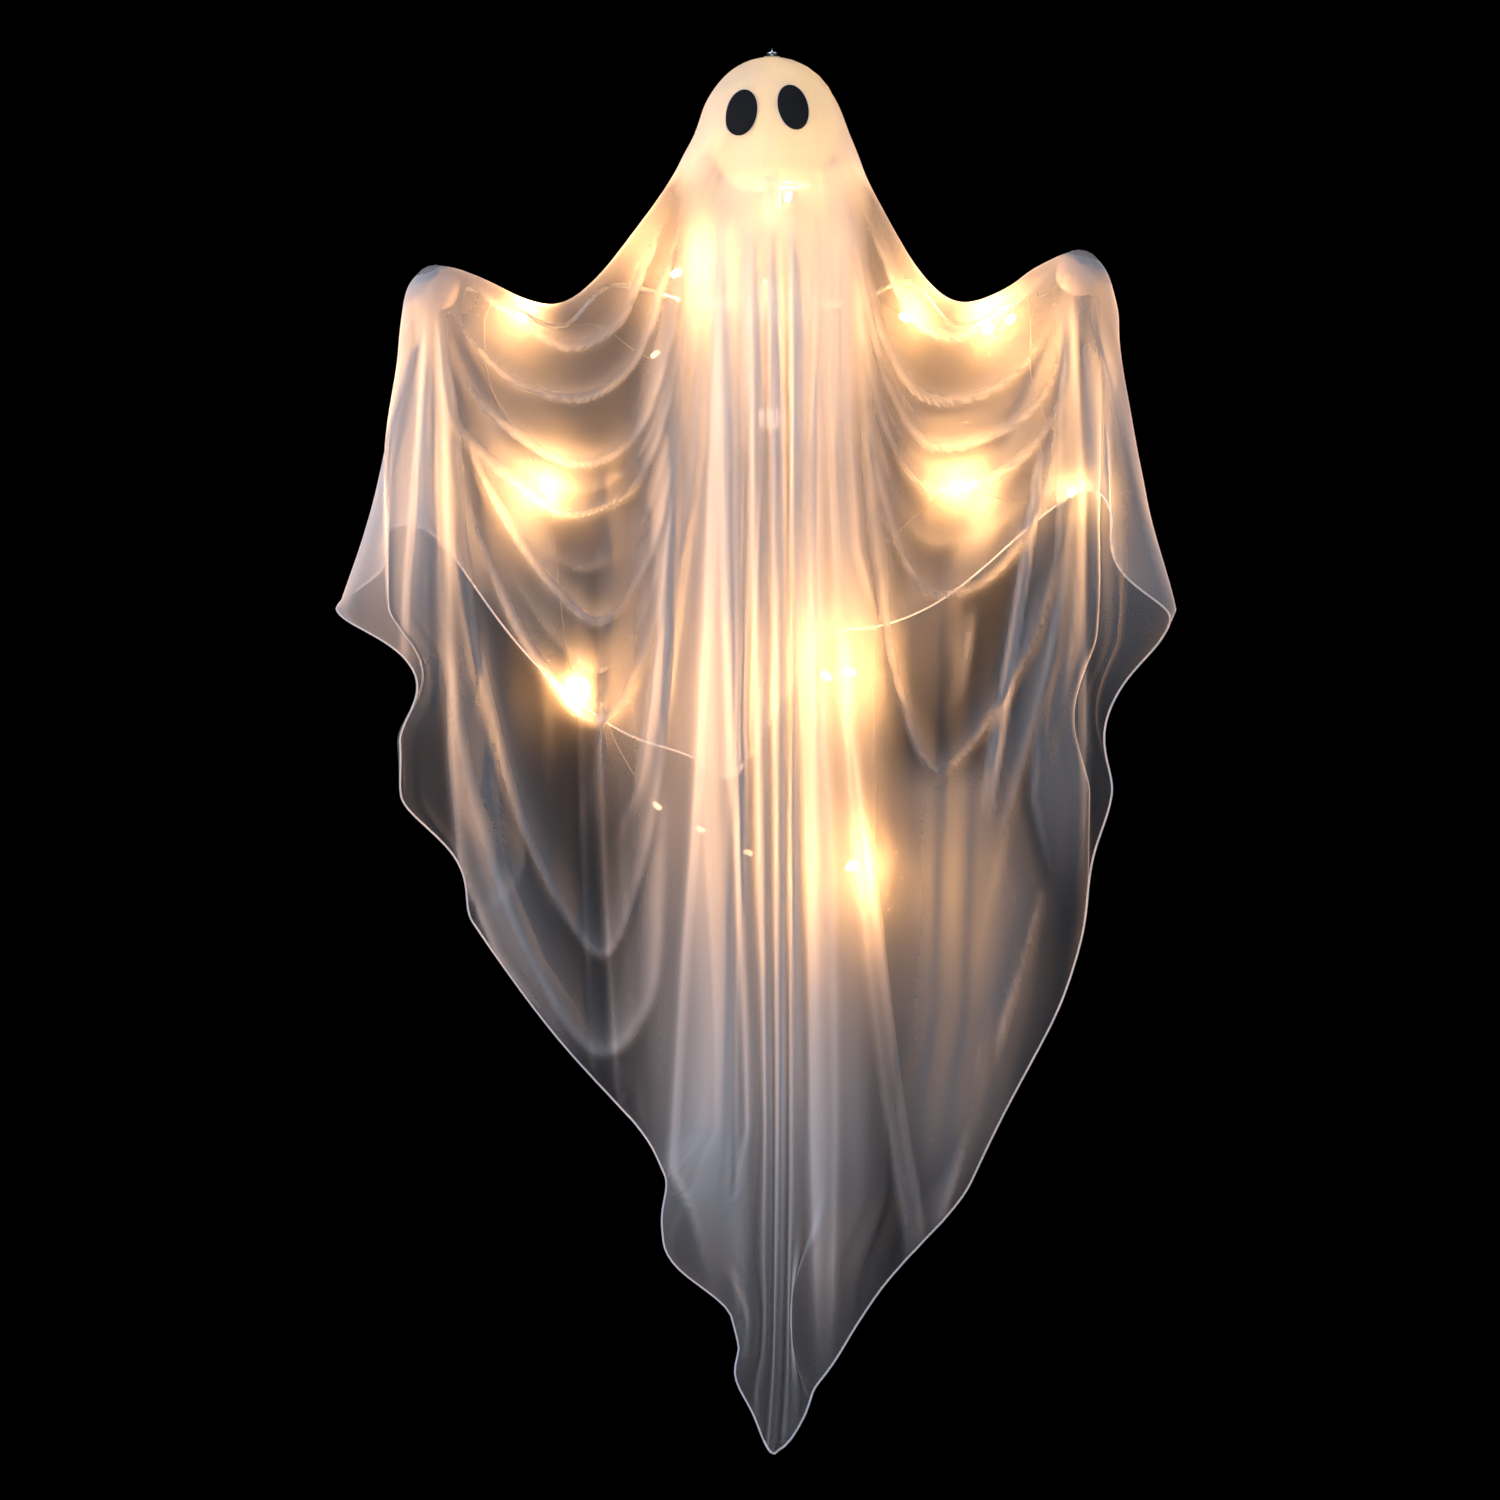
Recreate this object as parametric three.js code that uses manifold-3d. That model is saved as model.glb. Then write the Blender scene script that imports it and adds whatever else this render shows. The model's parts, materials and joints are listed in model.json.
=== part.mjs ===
// A hanging ghost of sheer cloth, lit from within: a battery tube is its spine, a hollow ball its head,
// and two hinged wire arms carry the cloth at the hands.
// Millimetres, +Z up, front towards -Y. The origin is where a hook bears in the hanging eye.
import * as THREE from 'three';
import { mergeVertices } from 'three/addons/utils/BufferGeometryUtils.js';
import Module from 'manifold-3d';

const wasm = await Module();
wasm.setup();

// Clearances
const seatGap = 0.3;
const runGap = 0.4;
const stopGap = 0.15;

// Head and hanging eye
const headRadius = 58.5;
const headWall = 2;
const crownDrop = 7.5;
const mouthDrop = 48;
const crownBossRadius = 7;
const crownBossRise = 1;
const eyeInner = 2.2;
const eyeWire = 1.2;
const eyeFlangeRadius = 4.5;
const eyeFlangeThick = 1;
const eyeShankRadius = 1.3;
const eyeShankLength = 26;

// Neck
const neckRadius = 7;
const neckWall = 1.5;
const crownPlugReach = 16;
const crownPlugThick = 2.5;
const spigotLength = 12;
const spiderRing = 3;
const spiderThick = 3;
const spiderSpokes = 3;
const spokeWidth = 4;

// Battery tube
const tubeRound = 36;
const tubeTopDrop = 152;
const tubeWall = 1.3;
const cellRadius = 7.1;
const cellLength = 49.2;
const cellNubRadius = 2.7;
const cellNubHeight = 1.3;
const cellCount = 3;
const cellPlay = 0.5;
const contactThick = 0.5;
const springRadius = 5;
const springWire = 0.8;
const springTurns = 5;
const springLength = 9.5;
const couplerFlange = 3;
const capSkirt = 13;
const capFloor = 3;
const capWall = 1.6;
const capRibs = 20;
const capRibDepth = 0.5;

// Switch housing on the back of the tube
const switchWidth = 12;
const switchHeight = 34;
const switchDepth = 9;
const switchWall = 1.4;
const switchLift = 22;
const switchTravel = 4;
const sliderWidth = 3.4;
const sliderHeight = 5;
const sliderRise = 2;
const boardThick = 1;

// Shoulder hub and arms
const shoulderDrop = 218;
const hubHalfWidth = 36;
const hubHeight = 30;
const hubDepth = 8.5;
const hubBarrelWall = 4;
const pivotReach = 24;
const leverThick = 5;
const leverEye = 9;
const leverBar = 4.5;
const leverSleeve = 4.3;
const sleeveStart = 15.5;
const sleeveEnd = 36;
const wireSeat = 18;
const pivotRadius = 2;
const pivotHead = 4.2;
const pivotHeadHeight = 2.5;
const washerRadius = 5;
const washerThick = 0.8;
const hubScrewRadius = 1.5;
const hubScrewHead = 2.8;
const hubScrewReach = 16.5;
const hubScrewLift = 11.5;
const armRadius = 2;
const raiseLimit = 12;
const lowerLimit = 22;
const handRadius = 20;
const handSeat = 6;

// String of lights
const lightWireRadius = 0.5;
const lightStep = 30;
const lampRadius = 2.4;
const lampNeck = 1.8;
const lampLength = 8;
const lampBore = 0.9;
const clipWall = 0.9;
const clipLength = 3;

// Cloth
const clothThick = 0.8;
const clothClear = 2.5;
const seamHalf = 0.6;
// Half width of the column of cloth that hangs from the head, and how square its section is
const columnHalf = 82;
const columnSquare = 4;
// How far the cloth stands off beside the column, and the drop in which it gets there
const swagDepth = 36;
const swagDrop = 25;
// How far the swags swing back towards the foot, towards the outer corners and behind the arms
const footSwing = 36;
const cornerSwing = 40;
const backSwing = 26;
const pleatDepth = 14;
const pleatsPerSide = 6;
const columnsPerSide = 22;
// Share of each side's width in which the panels come together at the outer seam
const seamShare = 0.1;
const ridgeOverWire = 12;
const ridgeOverHand = 4.2;

// Felt eyes
const feltThick = 0.8;
const feltGap = 1.2;
const feltHalfHeight = 19.5;
const feltHalfWidth = 12.8;
const feltRound = 48;
// Places of the eyes as shares of the ball's radius, from its middle
const felts = [
  { name: 'left_felt_eye', across: -0.42, up: 0.06, tilt: 8 },
  { name: 'right_felt_eye', across: 0.285, up: 0.125, tilt: -12 },
];

// Each side of the ghost, x counted outwards from the middle. The hem runs from the tip to the corner.
const sides = {
  left: {
    sign: -1,
    shoulder: [138.8, -191],
    elbow: [180.8, -226],
    forearm: [232, -203],
    hand: [288, -205],
    frontHem: [[41, -1087], [93.4, -1027], [147.4, -914], [250, -790], [279, -680], [332, -608]],
    backHem: [[33, -650], [70, -646], [130, -620], [188, -575], [235, -520], [289, -434]],
    corner: [375, -477],
  },
  right: {
    sign: 1,
    shoulder: [119, -187.7],
    elbow: [160, -225.4],
    forearm: [212, -198],
    hand: [263, -192],
    frontHem: [[46, -1153], [107, -1069], [195, -928], [244, -832], [268, -745], [274, -580]],
    backHem: [[40, -600], [75, -530], [125, -524], [164, -498], [200, -446], [260, -430]],
    corner: [347, -478],
  },
};
const frontTip = [1.7, -1203];
const backTip = [0, -652];
// Angle from the crown at which the cloth leaves the ball for the shoulders
const domeEdge = 62;
// Two of the ridge's seven spans lie over the ball
const domeShare = 2 / 7;

// Places that follow from the sizes above
const headZ = -(crownDrop + headRadius);
const neckBore = neckRadius - neckWall;
const tubeBore = cellRadius + cellPlay;
const tubeRadius = tubeBore + tubeWall;
const clothRadius = headRadius + clothClear;
const mouthZ = headZ - mouthDrop;
const crownUnderZ = headZ + headRadius - headWall;
const plugUnderZ = crownUnderZ - seatGap - crownPlugThick;
const tubeTopZ = -tubeTopDrop;
const couplerTopZ = tubeTopZ + seatGap + couplerFlange;
const contactZ = tubeTopZ - spigotLength / 2 - seatGap;
const firstCellZ = contactZ - contactThick - seatGap;
const cellPitch = cellLength + cellNubHeight + seatGap;
const springTopZ = firstCellZ - cellCount * cellPitch;
const capFloorZ = springTopZ - springLength - seatGap;
const tubeFootZ = capFloorZ + seatGap;
const hubZ = -shoulderDrop;
const hubFace = hubDepth;
const switchZ = tubeFootZ + switchLift + switchHeight / 2;

const plastic = (colour, roughness = 0.4) =>
  new THREE.MeshStandardMaterial({ color: colour, roughness, metalness: 0 });
const metal = (colour, roughness = 0.3) =>
  new THREE.MeshStandardMaterial({ color: colour, roughness, metalness: 1 });
const whitePlastic = plastic(0xf2efe8);
const milkyPlastic = plastic(0xfff3d8, 0.3);
const clearPlastic = plastic(0xe9edf0, 0.15);
const steel = metal(0xb9bcc0);
const brass = metal(0xc9a861);
const cellSkin = plastic(0x7d8288, 0.35);
const greenBoard = plastic(0x2f6a48, 0.5);
const foam = plastic(0xf6f3ec, 0.9);
const lampGlow = new THREE.MeshStandardMaterial({
  color: 0xffe2a0,
  roughness: 0.2,
  emissive: 0xffb040,
  emissiveIntensity: 1,
});
const sheerCloth = new THREE.MeshStandardMaterial({
  color: 0xe6e0e4,
  roughness: 0.8,
  transparent: true,
  opacity: 0.5,
});
const blackFelt = plastic(0x0b0b0c, 0.95);

const group = new THREE.Group();

// Adds a named piece to the ghost.
function add(name, geometry, material) {
  const mesh = new THREE.Mesh(geometry, material.clone());
  mesh.name = name;
  group.add(mesh);
  return mesh;
}

// Turns a closed geometry into a solid for joining and cutting.
function solidOf(geometry) {
  const bare = geometry.clone();
  bare.deleteAttribute('normal');
  bare.deleteAttribute('uv');
  const merged = mergeVertices(bare, 1e-4);
  return new wasm.Manifold(new wasm.Mesh({
    numProp: 3,
    vertProperties: new Float32Array(merged.attributes.position.array),
    triVerts: new Uint32Array(merged.index.array),
  }));
}

function geometryOf(solid) {
  const mesh = solid.getMesh();
  const geometry = new THREE.BufferGeometry();
  geometry.setAttribute('position', new THREE.BufferAttribute(mesh.vertProperties, 3));
  geometry.setIndex(new THREE.BufferAttribute(mesh.triVerts, 1));
  geometry.computeVertexNormals();
  return geometry;
}

// A turned piece: its profile is a list of [radius, height] from foot to top, on the Z axis.
function turned(profile, sidesRound = 32) {
  const points = profile.map(([radius, height]) => new THREE.Vector2(radius, height));
  const geometry = new THREE.LatheGeometry(points, sidesRound);
  geometry.rotateX(Math.PI / 2);
  return geometry;
}

function ring(inner, outer, low, high, sidesRound = 32) {
  return turned([[inner, low], [outer, low], [outer, high], [inner, high], [inner, low]], sidesRound);
}

function rod(radius, low, high, sidesRound = 24) {
  return turned([[0, low], [radius, low], [radius, high], [0, high]], sidesRound);
}

// Turns a piece made on the Z axis so that it lies along Y.
function alongY(geometry) {
  return geometry.rotateX(-Math.PI / 2);
}

function alongX(geometry) {
  return geometry.rotateY(Math.PI / 2);
}

function box(width, depth, height, x = 0, y = 0, z = 0) {
  return new THREE.BoxGeometry(width, depth, height).translate(x, y, z);
}

// Extrudes an outline drawn in X and Z through the thickness, from y = from to y = to.
function plate(shape, from, to, curveSegments = 12) {
  const geometry = new THREE.ExtrudeGeometry(shape, {
    depth: to - from,
    bevelEnabled: false,
    curveSegments,
  });
  geometry.rotateX(Math.PI / 2);
  return geometry.translate(0, to, 0);
}

function tubeAlong(curve, radius, steps, sidesRound = 8) {
  const section = new THREE.Shape();
  for (let i = 0; i < sidesRound; i += 1) {
    const angle = (i / sidesRound) * 2 * Math.PI;
    const x = radius * Math.cos(angle);
    const y = radius * Math.sin(angle);
    if (i === 0) section.moveTo(x, y);
    else section.lineTo(x, y);
  }
  section.closePath();
  return new THREE.ExtrudeGeometry(section, { steps, extrudePath: curve, bevelEnabled: false });
}

// Hanging eye: a wire ring on a flange, with a shank that goes down into the crown plug.
function hangingEye() {
  const ringRadius = eyeInner + eyeWire / 2;
  const loop = new THREE.TorusGeometry(ringRadius, eyeWire / 2, 8, 20);
  loop.rotateY(Math.PI / 2);
  loop.translate(0, 0, -eyeInner);
  const flangeLow = headZ + clothRadius + clothThick / 2 + seatGap;
  const flange = rod(eyeFlangeRadius, flangeLow, flangeLow + eyeFlangeThick);
  const shank = rod(eyeShankRadius, flangeLow - eyeShankLength, -2 * eyeInner, 16);
  return geometryOf(solidOf(loop).add(solidOf(flange)).add(solidOf(shank)));
}

// Head: a hollow ball with a thick crown and an open mouth.
function headShell() {
  const inner = headRadius - headWall;
  const profile = [];
  const steps = 11;
  const outerFoot = Math.acos(-mouthDrop / headRadius);
  const innerFoot = Math.acos(-mouthDrop / inner);
  const crownStart = Math.asin(crownBossRadius / headRadius);
  const crownTop = headRadius + crownBossRise;
  const shankHole = eyeShankRadius + seatGap;
  for (let i = 0; i <= steps; i += 1) {
    const angle = outerFoot + (crownStart - outerFoot) * (i / steps);
    profile.push([headRadius * Math.sin(angle), headZ + headRadius * Math.cos(angle)]);
  }
  const bossAngle = Math.asin(crownBossRadius / crownTop);
  profile.push([crownBossRadius, headZ + crownTop * Math.cos(bossAngle)]);
  profile.push([shankHole, headZ + crownTop]);
  for (let i = 0; i <= steps; i += 1) {
    const top = Math.asin(shankHole / inner);
    const angle = top + (innerFoot - top) * (i / steps) ** 1.3;
    profile.push([inner * Math.sin(angle), headZ + inner * Math.cos(angle)]);
  }
  profile.push(profile[0]);
  return turned(profile, 32);
}

// Plug under the crown: a domed flange and a spigot for the neck tube, bored for the eye's shank.
function crownPlug() {
  const profile = [];
  const bore = eyeShankRadius + seatGap;
  const spigot = neckBore - seatGap;
  const inner = headRadius - headWall - 2 * seatGap;
  profile.push([bore, plugUnderZ - spigotLength], [spigot, plugUnderZ - spigotLength]);
  profile.push([spigot, plugUnderZ], [crownPlugReach - crownPlugThick, plugUnderZ]);
  const steps = 4;
  const rim = Math.asin(crownPlugReach / inner);
  const top = Math.asin(bore / inner);
  for (let i = 0; i <= steps; i += 1) {
    const angle = rim + (top - rim) * (i / steps);
    profile.push([inner * Math.sin(angle), headZ + inner * Math.cos(angle)]);
  }
  profile.push(profile[0]);
  return turned(profile, 28);
}

// Spider that centres the mouth of the head on the neck tube.
function neckSpider() {
  const shellInner = Math.sqrt((headRadius - headWall) ** 2 - mouthDrop ** 2);
  const shellOuter = Math.sqrt(headRadius ** 2 - mouthDrop ** 2);
  const rimOuter = shellInner - seatGap - 0.6;
  const rimInner = rimOuter - spiderRing;
  const low = mouthZ - seatGap - spiderThick;
  const rim = turned([
    [rimInner, low], [shellOuter, low], [shellOuter, mouthZ - seatGap], [rimOuter, mouthZ - seatGap],
    [rimOuter, mouthZ + spiderThick], [rimInner, mouthZ + spiderThick], [rimInner, low],
  ], 30);
  const collarInner = neckRadius + seatGap;
  const collar = ring(collarInner, collarInner + spiderRing, low, low + 3 * spiderThick, 20);
  let solid = solidOf(rim).add(solidOf(collar));
  const from = collarInner + spiderRing / 2;
  const to = rimInner + spiderRing / 2;
  for (let i = 0; i < spiderSpokes; i += 1) {
    const spoke = box(to - from, spokeWidth, spiderThick, (from + to) / 2, 0, low + spiderThick / 2);
    spoke.rotateZ((i + 0.25) * ((2 * Math.PI) / spiderSpokes));
    solid = solid.add(solidOf(spoke));
  }
  return geometryOf(solid);
}

// Coupler between the neck tube and the battery tube.
function tubeCoupler() {
  const upper = neckBore - seatGap;
  const lower = tubeBore - seatGap;
  return turned([
    [0, tubeTopZ - spigotLength / 2], [lower, tubeTopZ - spigotLength / 2], [lower, tubeTopZ + seatGap],
    [tubeRadius, tubeTopZ + seatGap], [tubeRadius, couplerTopZ], [upper, couplerTopZ],
    [upper, couplerTopZ + spigotLength], [0, couplerTopZ + spigotLength],
  ], 28);
}

function cell(index) {
  const top = firstCellZ - index * cellPitch;
  const shoulder = top - cellNubHeight;
  return turned([
    [0, shoulder - cellLength], [cellRadius - 0.5, shoulder - cellLength],
    [cellRadius, shoulder - cellLength + 0.5], [cellRadius, shoulder - 0.5], [cellRadius - 0.5, shoulder],
    [cellNubRadius, shoulder], [cellNubRadius, top], [0, top],
  ], 18);
}

class Helix extends THREE.Curve {
  constructor(radius, low, high, turns) {
    super();
    Object.assign(this, { radius, low, high, turns });
  }

  getPoint(t, target = new THREE.Vector3()) {
    const angle = t * this.turns * 2 * Math.PI;
    const z = this.low + (this.high - this.low) * t;
    return target.set(this.radius * Math.cos(angle), this.radius * Math.sin(angle), z);
  }
}

// Contact spring between the cap's floor and the last cell.
function contactSpring() {
  const low = capFloorZ + seatGap + springWire / 2;
  const high = springTopZ - springWire / 2;
  const curve = new Helix(springRadius, low, high, springTurns);
  const leastGap = (high - low) / springTurns - springWire;
  console.log(`contact spring, least gap between turns ${leastGap.toFixed(2)} mm`);
  return tubeAlong(curve, springWire / 2, springTurns * 8, 5);
}

// Screw cap with grip ribs that closes the battery tube.
function batteryCap() {
  const outer = tubeRadius + runGap + capWall;
  const outline = new THREE.Shape();
  const steps = capRibs * 4;
  for (let i = 0; i < steps; i += 1) {
    const angle = (i / steps) * 2 * Math.PI;
    const radius = outer + capRibDepth * Math.cos(angle * capRibs);
    if (i === 0) outline.moveTo(radius, 0);
    else outline.lineTo(radius * Math.cos(angle), radius * Math.sin(angle));
  }
  outline.closePath();
  const low = capFloorZ - capFloor;
  const height = capFloor + capSkirt;
  const body = new THREE.ExtrudeGeometry(outline, { depth: height, bevelEnabled: false });
  body.translate(0, 0, low);
  const hollow = rod(tubeRadius + runGap, capFloorZ, low + height + 1, 32);
  return geometryOf(solidOf(body).subtract(solidOf(hollow)));
}

// Housing of the switch, saddled on the back of the battery tube, with the gland of the light wire.
function switchHousing() {
  const faceY = tubeRadius + switchDepth;
  const body = box(switchWidth, switchDepth + 4, switchHeight, 0, faceY - (switchDepth + 4) / 2, switchZ);
  const gland = ring(lightWireRadius + seatGap, 2.2, 0, 3, 16);
  gland.translate(0, tubeRadius + switchDepth / 2, switchZ + switchHeight / 2 - 0.5);
  const saddle = rod(tubeRadius + seatGap, tubeFootZ, tubeTopZ, 32);
  const roomDepth = switchDepth - 2 * switchWall;
  const room = box(
    switchWidth - 2 * switchWall, roomDepth, switchHeight - 2 * switchWall,
    0, tubeRadius + switchDepth / 2 + 0.4, switchZ,
  );
  const slot = box(
    sliderWidth + 2 * runGap, 2 * switchWall, sliderHeight + switchTravel + 2 * runGap,
    0, faceY, switchZ - switchTravel / 2,
  );
  const hollow = solidOf(body).subtract(solidOf(saddle)).subtract(solidOf(room));
  return geometryOf(hollow.add(solidOf(gland)).subtract(solidOf(slot)));
}

// Slider of the switch: a knob outside, a stem in the slot and a wider foot inside.
function switchSlider() {
  const faceY = tubeRadius + switchDepth;
  const knobDepth = switchWall + sliderRise + 1;
  const knobY = faceY + sliderRise + 0.5 - knobDepth / 2;
  const knob = box(sliderWidth, knobDepth, sliderHeight, 0, knobY, switchZ);
  const footY = faceY - switchWall - runGap - 0.6;
  const foot = box(sliderWidth + 3, 1.2, sliderHeight + 1, 0, footY, switchZ);
  const stem = box(sliderWidth, 3, sliderHeight, 0, faceY - 1.6, switchZ);
  return geometryOf(solidOf(knob).add(solidOf(foot)).add(solidOf(stem)));
}

// Pocket in a hub half in which an arm's lever turns, with walls that stop it at both limits.
function leverPocket(sign) {
  const depth = leverThick / 2 + runGap;
  const reach = hubHalfWidth;
  const half = leverBar + stopGap;
  const shape = new THREE.Shape();
  const low = THREE.MathUtils.degToRad(-lowerLimit);
  const high = THREE.MathUtils.degToRad(raiseLimit);
  const place = (along, across, angle) => [
    sign * (pivotReach + along * Math.cos(angle) - across * Math.sin(angle)),
    along * Math.sin(angle) + across * Math.cos(angle),
  ];
  shape.moveTo(...place(0, -half, low));
  shape.lineTo(...place(reach, -half, low));
  shape.lineTo(...place(reach, half, high));
  shape.lineTo(...place(0, half, high));
  shape.closePath();
  const wedge = plate(shape, -depth, depth);
  const well = alongY(rod(leverEye + runGap, -depth, depth, 32)).translate(sign * pivotReach, 0, 0);
  return solidOf(wedge).add(solidOf(well));
}

// One half of the shoulder hub: face is -1 for the front and 1 for the back.
function hubHalf(face) {
  const outline = new THREE.Shape();
  const corner = 6;
  const halfHeight = hubHeight / 2;
  outline.moveTo(-hubHalfWidth + corner, -halfHeight);
  outline.lineTo(hubHalfWidth - corner, -halfHeight);
  outline.absarc(hubHalfWidth - corner, -halfHeight + corner, corner, -Math.PI / 2, 0);
  outline.lineTo(hubHalfWidth, halfHeight - corner);
  outline.absarc(hubHalfWidth - corner, halfHeight - corner, corner, 0, Math.PI / 2);
  outline.lineTo(-hubHalfWidth + corner, halfHeight);
  outline.absarc(-hubHalfWidth + corner, halfHeight - corner, corner, Math.PI / 2, Math.PI);
  outline.lineTo(-hubHalfWidth, -halfHeight + corner);
  outline.absarc(-hubHalfWidth + corner, -halfHeight + corner, corner, Math.PI, 1.5 * Math.PI);
  const from = face < 0 ? -hubFace : seatGap / 2;
  const to = face < 0 ? -seatGap / 2 : hubFace;
  const barrelRadius = tubeRadius + hubBarrelWall;
  const barrel = solidOf(rod(barrelRadius, -halfHeight, halfHeight, tubeRound));
  const keepY = face * (barrelRadius + seatGap / 2);
  const keep = box(4 * barrelRadius, 2 * barrelRadius, 2 * hubHeight, 0, keepY, 0);
  let solid = solidOf(plate(outline, from, to, 5)).add(barrel.intersect(solidOf(keep)));
  solid = solid.subtract(solidOf(rod(tubeRadius + seatGap, -hubHeight, hubHeight, tubeRound)));
  for (const sign of [-1, 1]) {
    const pivotHole = alongY(rod(pivotRadius + seatGap, -2 * hubFace, 2 * hubFace, 20));
    const screwHole = alongY(rod(hubScrewRadius + seatGap, -2 * hubFace, 2 * hubFace, 16));
    pivotHole.translate(sign * pivotReach, 0, 0);
    screwHole.translate(sign * hubScrewReach, 0, hubScrewLift);
    solid = solid.subtract(leverPocket(sign)).subtract(solidOf(pivotHole)).subtract(solidOf(screwHole));
  }
  return geometryOf(solid.translate([0, 0, hubZ]));
}

// A screw along Y through both hub halves, its head on the front.
function hubScrew(shankRadius, headRadiusOut, headHeight, seatOff) {
  const seat = hubFace + seatOff;
  const top = seat + headHeight;
  const profile = [
    [0, -top], [headRadiusOut - 0.4, -top], [headRadiusOut, 0.5 - top],
    [headRadiusOut, -seat], [shankRadius, -seat], [shankRadius, hubFace - 0.5], [0, hubFace - 0.5],
  ];
  return alongY(turned(profile, 16));
}

// Lever of an arm: an eye on the pivot, a bar between the stops and a sleeve for the arm wire.
function armLever(sign) {
  const half = leverThick / 2;
  const eye = alongY(rod(leverEye, -half, half, 32));
  const bar = box(sleeveStart + 2, leverThick, 2 * leverBar, (sleeveStart + 2) / 2, 0, 0);
  const sleeve = alongX(rod(leverSleeve, sleeveStart, sleeveEnd, 20));
  const bore = alongX(rod(armRadius + seatGap, wireSeat - seatGap, sleeveEnd + 1, 16));
  const hole = alongY(rod(pivotRadius + seatGap, -leverThick, leverThick, 20));
  const body = solidOf(eye).add(solidOf(bar)).add(solidOf(sleeve));
  const solid = body.subtract(solidOf(bore)).subtract(solidOf(hole));
  const turnedSide = sign < 0 ? solid.mirror([1, 0, 0]) : solid;
  return geometryOf(turnedSide.translate([sign * pivotReach, 0, hubZ]));
}

// The arm wire's line, from the lever's sleeve over the shoulder and elbow to the hand.
function armCurve(side) {
  const { sign, shoulder, elbow, forearm, hand } = side;
  const at = (x, z) => new THREE.Vector3(sign * x, 0, z);
  return new THREE.CatmullRomCurve3([
    at(pivotReach + wireSeat, hubZ),
    at(pivotReach + sleeveEnd + 1, hubZ),
    at(pivotReach + sleeveEnd + 10, hubZ),
    at(shoulder[0], shoulder[1] - ridgeOverWire),
    at(elbow[0], elbow[1] - ridgeOverWire),
    at(forearm[0], forearm[1] - ridgeOverWire),
    at(hand[0] - handRadius - 10, hand[1]),
    at(hand[0] - handRadius - 1, hand[1]),
    at(hand[0] - handSeat, hand[1]),
  ]);
}

function handForm(side) {
  const ball = new THREE.SphereGeometry(handRadius, 20, 12);
  const bore = alongX(rod(armRadius + seatGap, -2 * handRadius, seatGap - handSeat, 16));
  const solid = solidOf(ball).subtract(solidOf(bore));
  const turnedSide = side.sign < 0 ? solid.mirror([1, 0, 0]) : solid;
  return geometryOf(turnedSide.translate([side.sign * side.hand[0], 0, side.hand[1]]));
}

// Clip that holds the light wire behind the forearm.
function wireClip(side) {
  const { sign, forearm } = side;
  const inner = armRadius + seatGap;
  const eyeR = lightWireRadius + runGap;
  const off = inner + clipWall + eyeR;
  const big = ring(inner, inner + clipWall, -clipLength / 2, clipLength / 2, 20);
  const small = ring(eyeR, eyeR + clipWall, -clipLength / 2, clipLength / 2, 14).translate(0, off, 0);
  const bore = rod(inner, -clipLength, clipLength, 20);
  const lightBore = rod(eyeR, -clipLength, clipLength, 14).translate(0, off, 0);
  const solid = solidOf(big).add(solidOf(small)).subtract(solidOf(bore)).subtract(solidOf(lightBore));
  const curve = armCurve(side);
  const tangent = curve.getTangent(5 / 8);
  const place = new THREE.Matrix4().makeBasis(
    new THREE.Vector3(0, 1, 0).cross(tangent), new THREE.Vector3(0, 1, 0), tangent,
  );
  place.setPosition(sign * forearm[0], 0, forearm[1] - ridgeOverWire);
  return geometryOf(solid).applyMatrix4(place);
}

// Two places on the light wire's route, at the ends of the clip that holds it.
function clipStops(side, outward = 1) {
  const off = armRadius + seatGap + clipWall + lightWireRadius + runGap;
  const along = armCurve(side).getTangent(5 / 8);
  const middle = new THREE.Vector3(side.sign * side.forearm[0], off, side.forearm[1] - ridgeOverWire);
  const step = outward * 1.5 * clipLength;
  return [-step, step].map((way) => middle.clone().addScaledVector(along, way).toArray());
}

// A point of the cloth's outline over the head, at an angle from the crown.
function domePoint(angle) {
  const radians = THREE.MathUtils.degToRad(angle);
  return [clothRadius * Math.sin(radians), headZ + clothRadius * Math.cos(radians)];
}

// The line over the shoulders, hands and outer edges where the front and back panels meet.
function ridgeCurve(side) {
  const { sign, shoulder, elbow, forearm, hand } = side;
  const over = handRadius + ridgeOverHand;
  const atHand = (angle) => {
    const radians = THREE.MathUtils.degToRad(angle);
    return [hand[0] + over * Math.sin(radians), hand[1] + over * Math.cos(radians)];
  };
  const dome = [0, domeEdge / 2, domeEdge].map(domePoint);
  const line = [...dome, shoulder, elbow, forearm, atHand(-28), atHand(65)];
  return new THREE.CatmullRomCurve3(line.map(([x, z]) => new THREE.Vector3(sign * x, 0, z)));
}

// A point of the ridge at a share of the side's width: exactly round where it lies over the ball.
function ridgePoint(side, across) {
  if (across > domeShare) return ridgeCurve(side).getPoint(across);
  const [x, z] = domePoint((domeEdge * across) / domeShare);
  return new THREE.Vector3(side.sign * x, 0, z);
}

function hemCurve(side, front) {
  const { sign, frontHem, backHem, corner } = side;
  const tip = front ? frontTip : backTip;
  const hem = front ? frontHem : backHem;
  const line = [...hem, corner].map(([x, z]) => new THREE.Vector3(sign * x, 0, z));
  return new THREE.CatmullRomCurve3([new THREE.Vector3(tip[0], 0, tip[1]), ...line]);
}

// How far the cloth stands off the middle plane beside the column, after it has fallen by the drop.
function swagOff(front, out, z, drop) {
  const { smoothstep } = THREE.MathUtils;
  const foot = footSwing * smoothstep(-z, 400, 900);
  const corner = cornerSwing * smoothstep(out, 120, 340) * smoothstep(-z, 250, 600);
  const behind = backSwing * smoothstep(out, 150, 240) * smoothstep(-z, 230, 450);
  const full = swagDepth - (front ? foot + corner : behind);
  return full * (1 - Math.exp(-drop / swagDrop));
}

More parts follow.
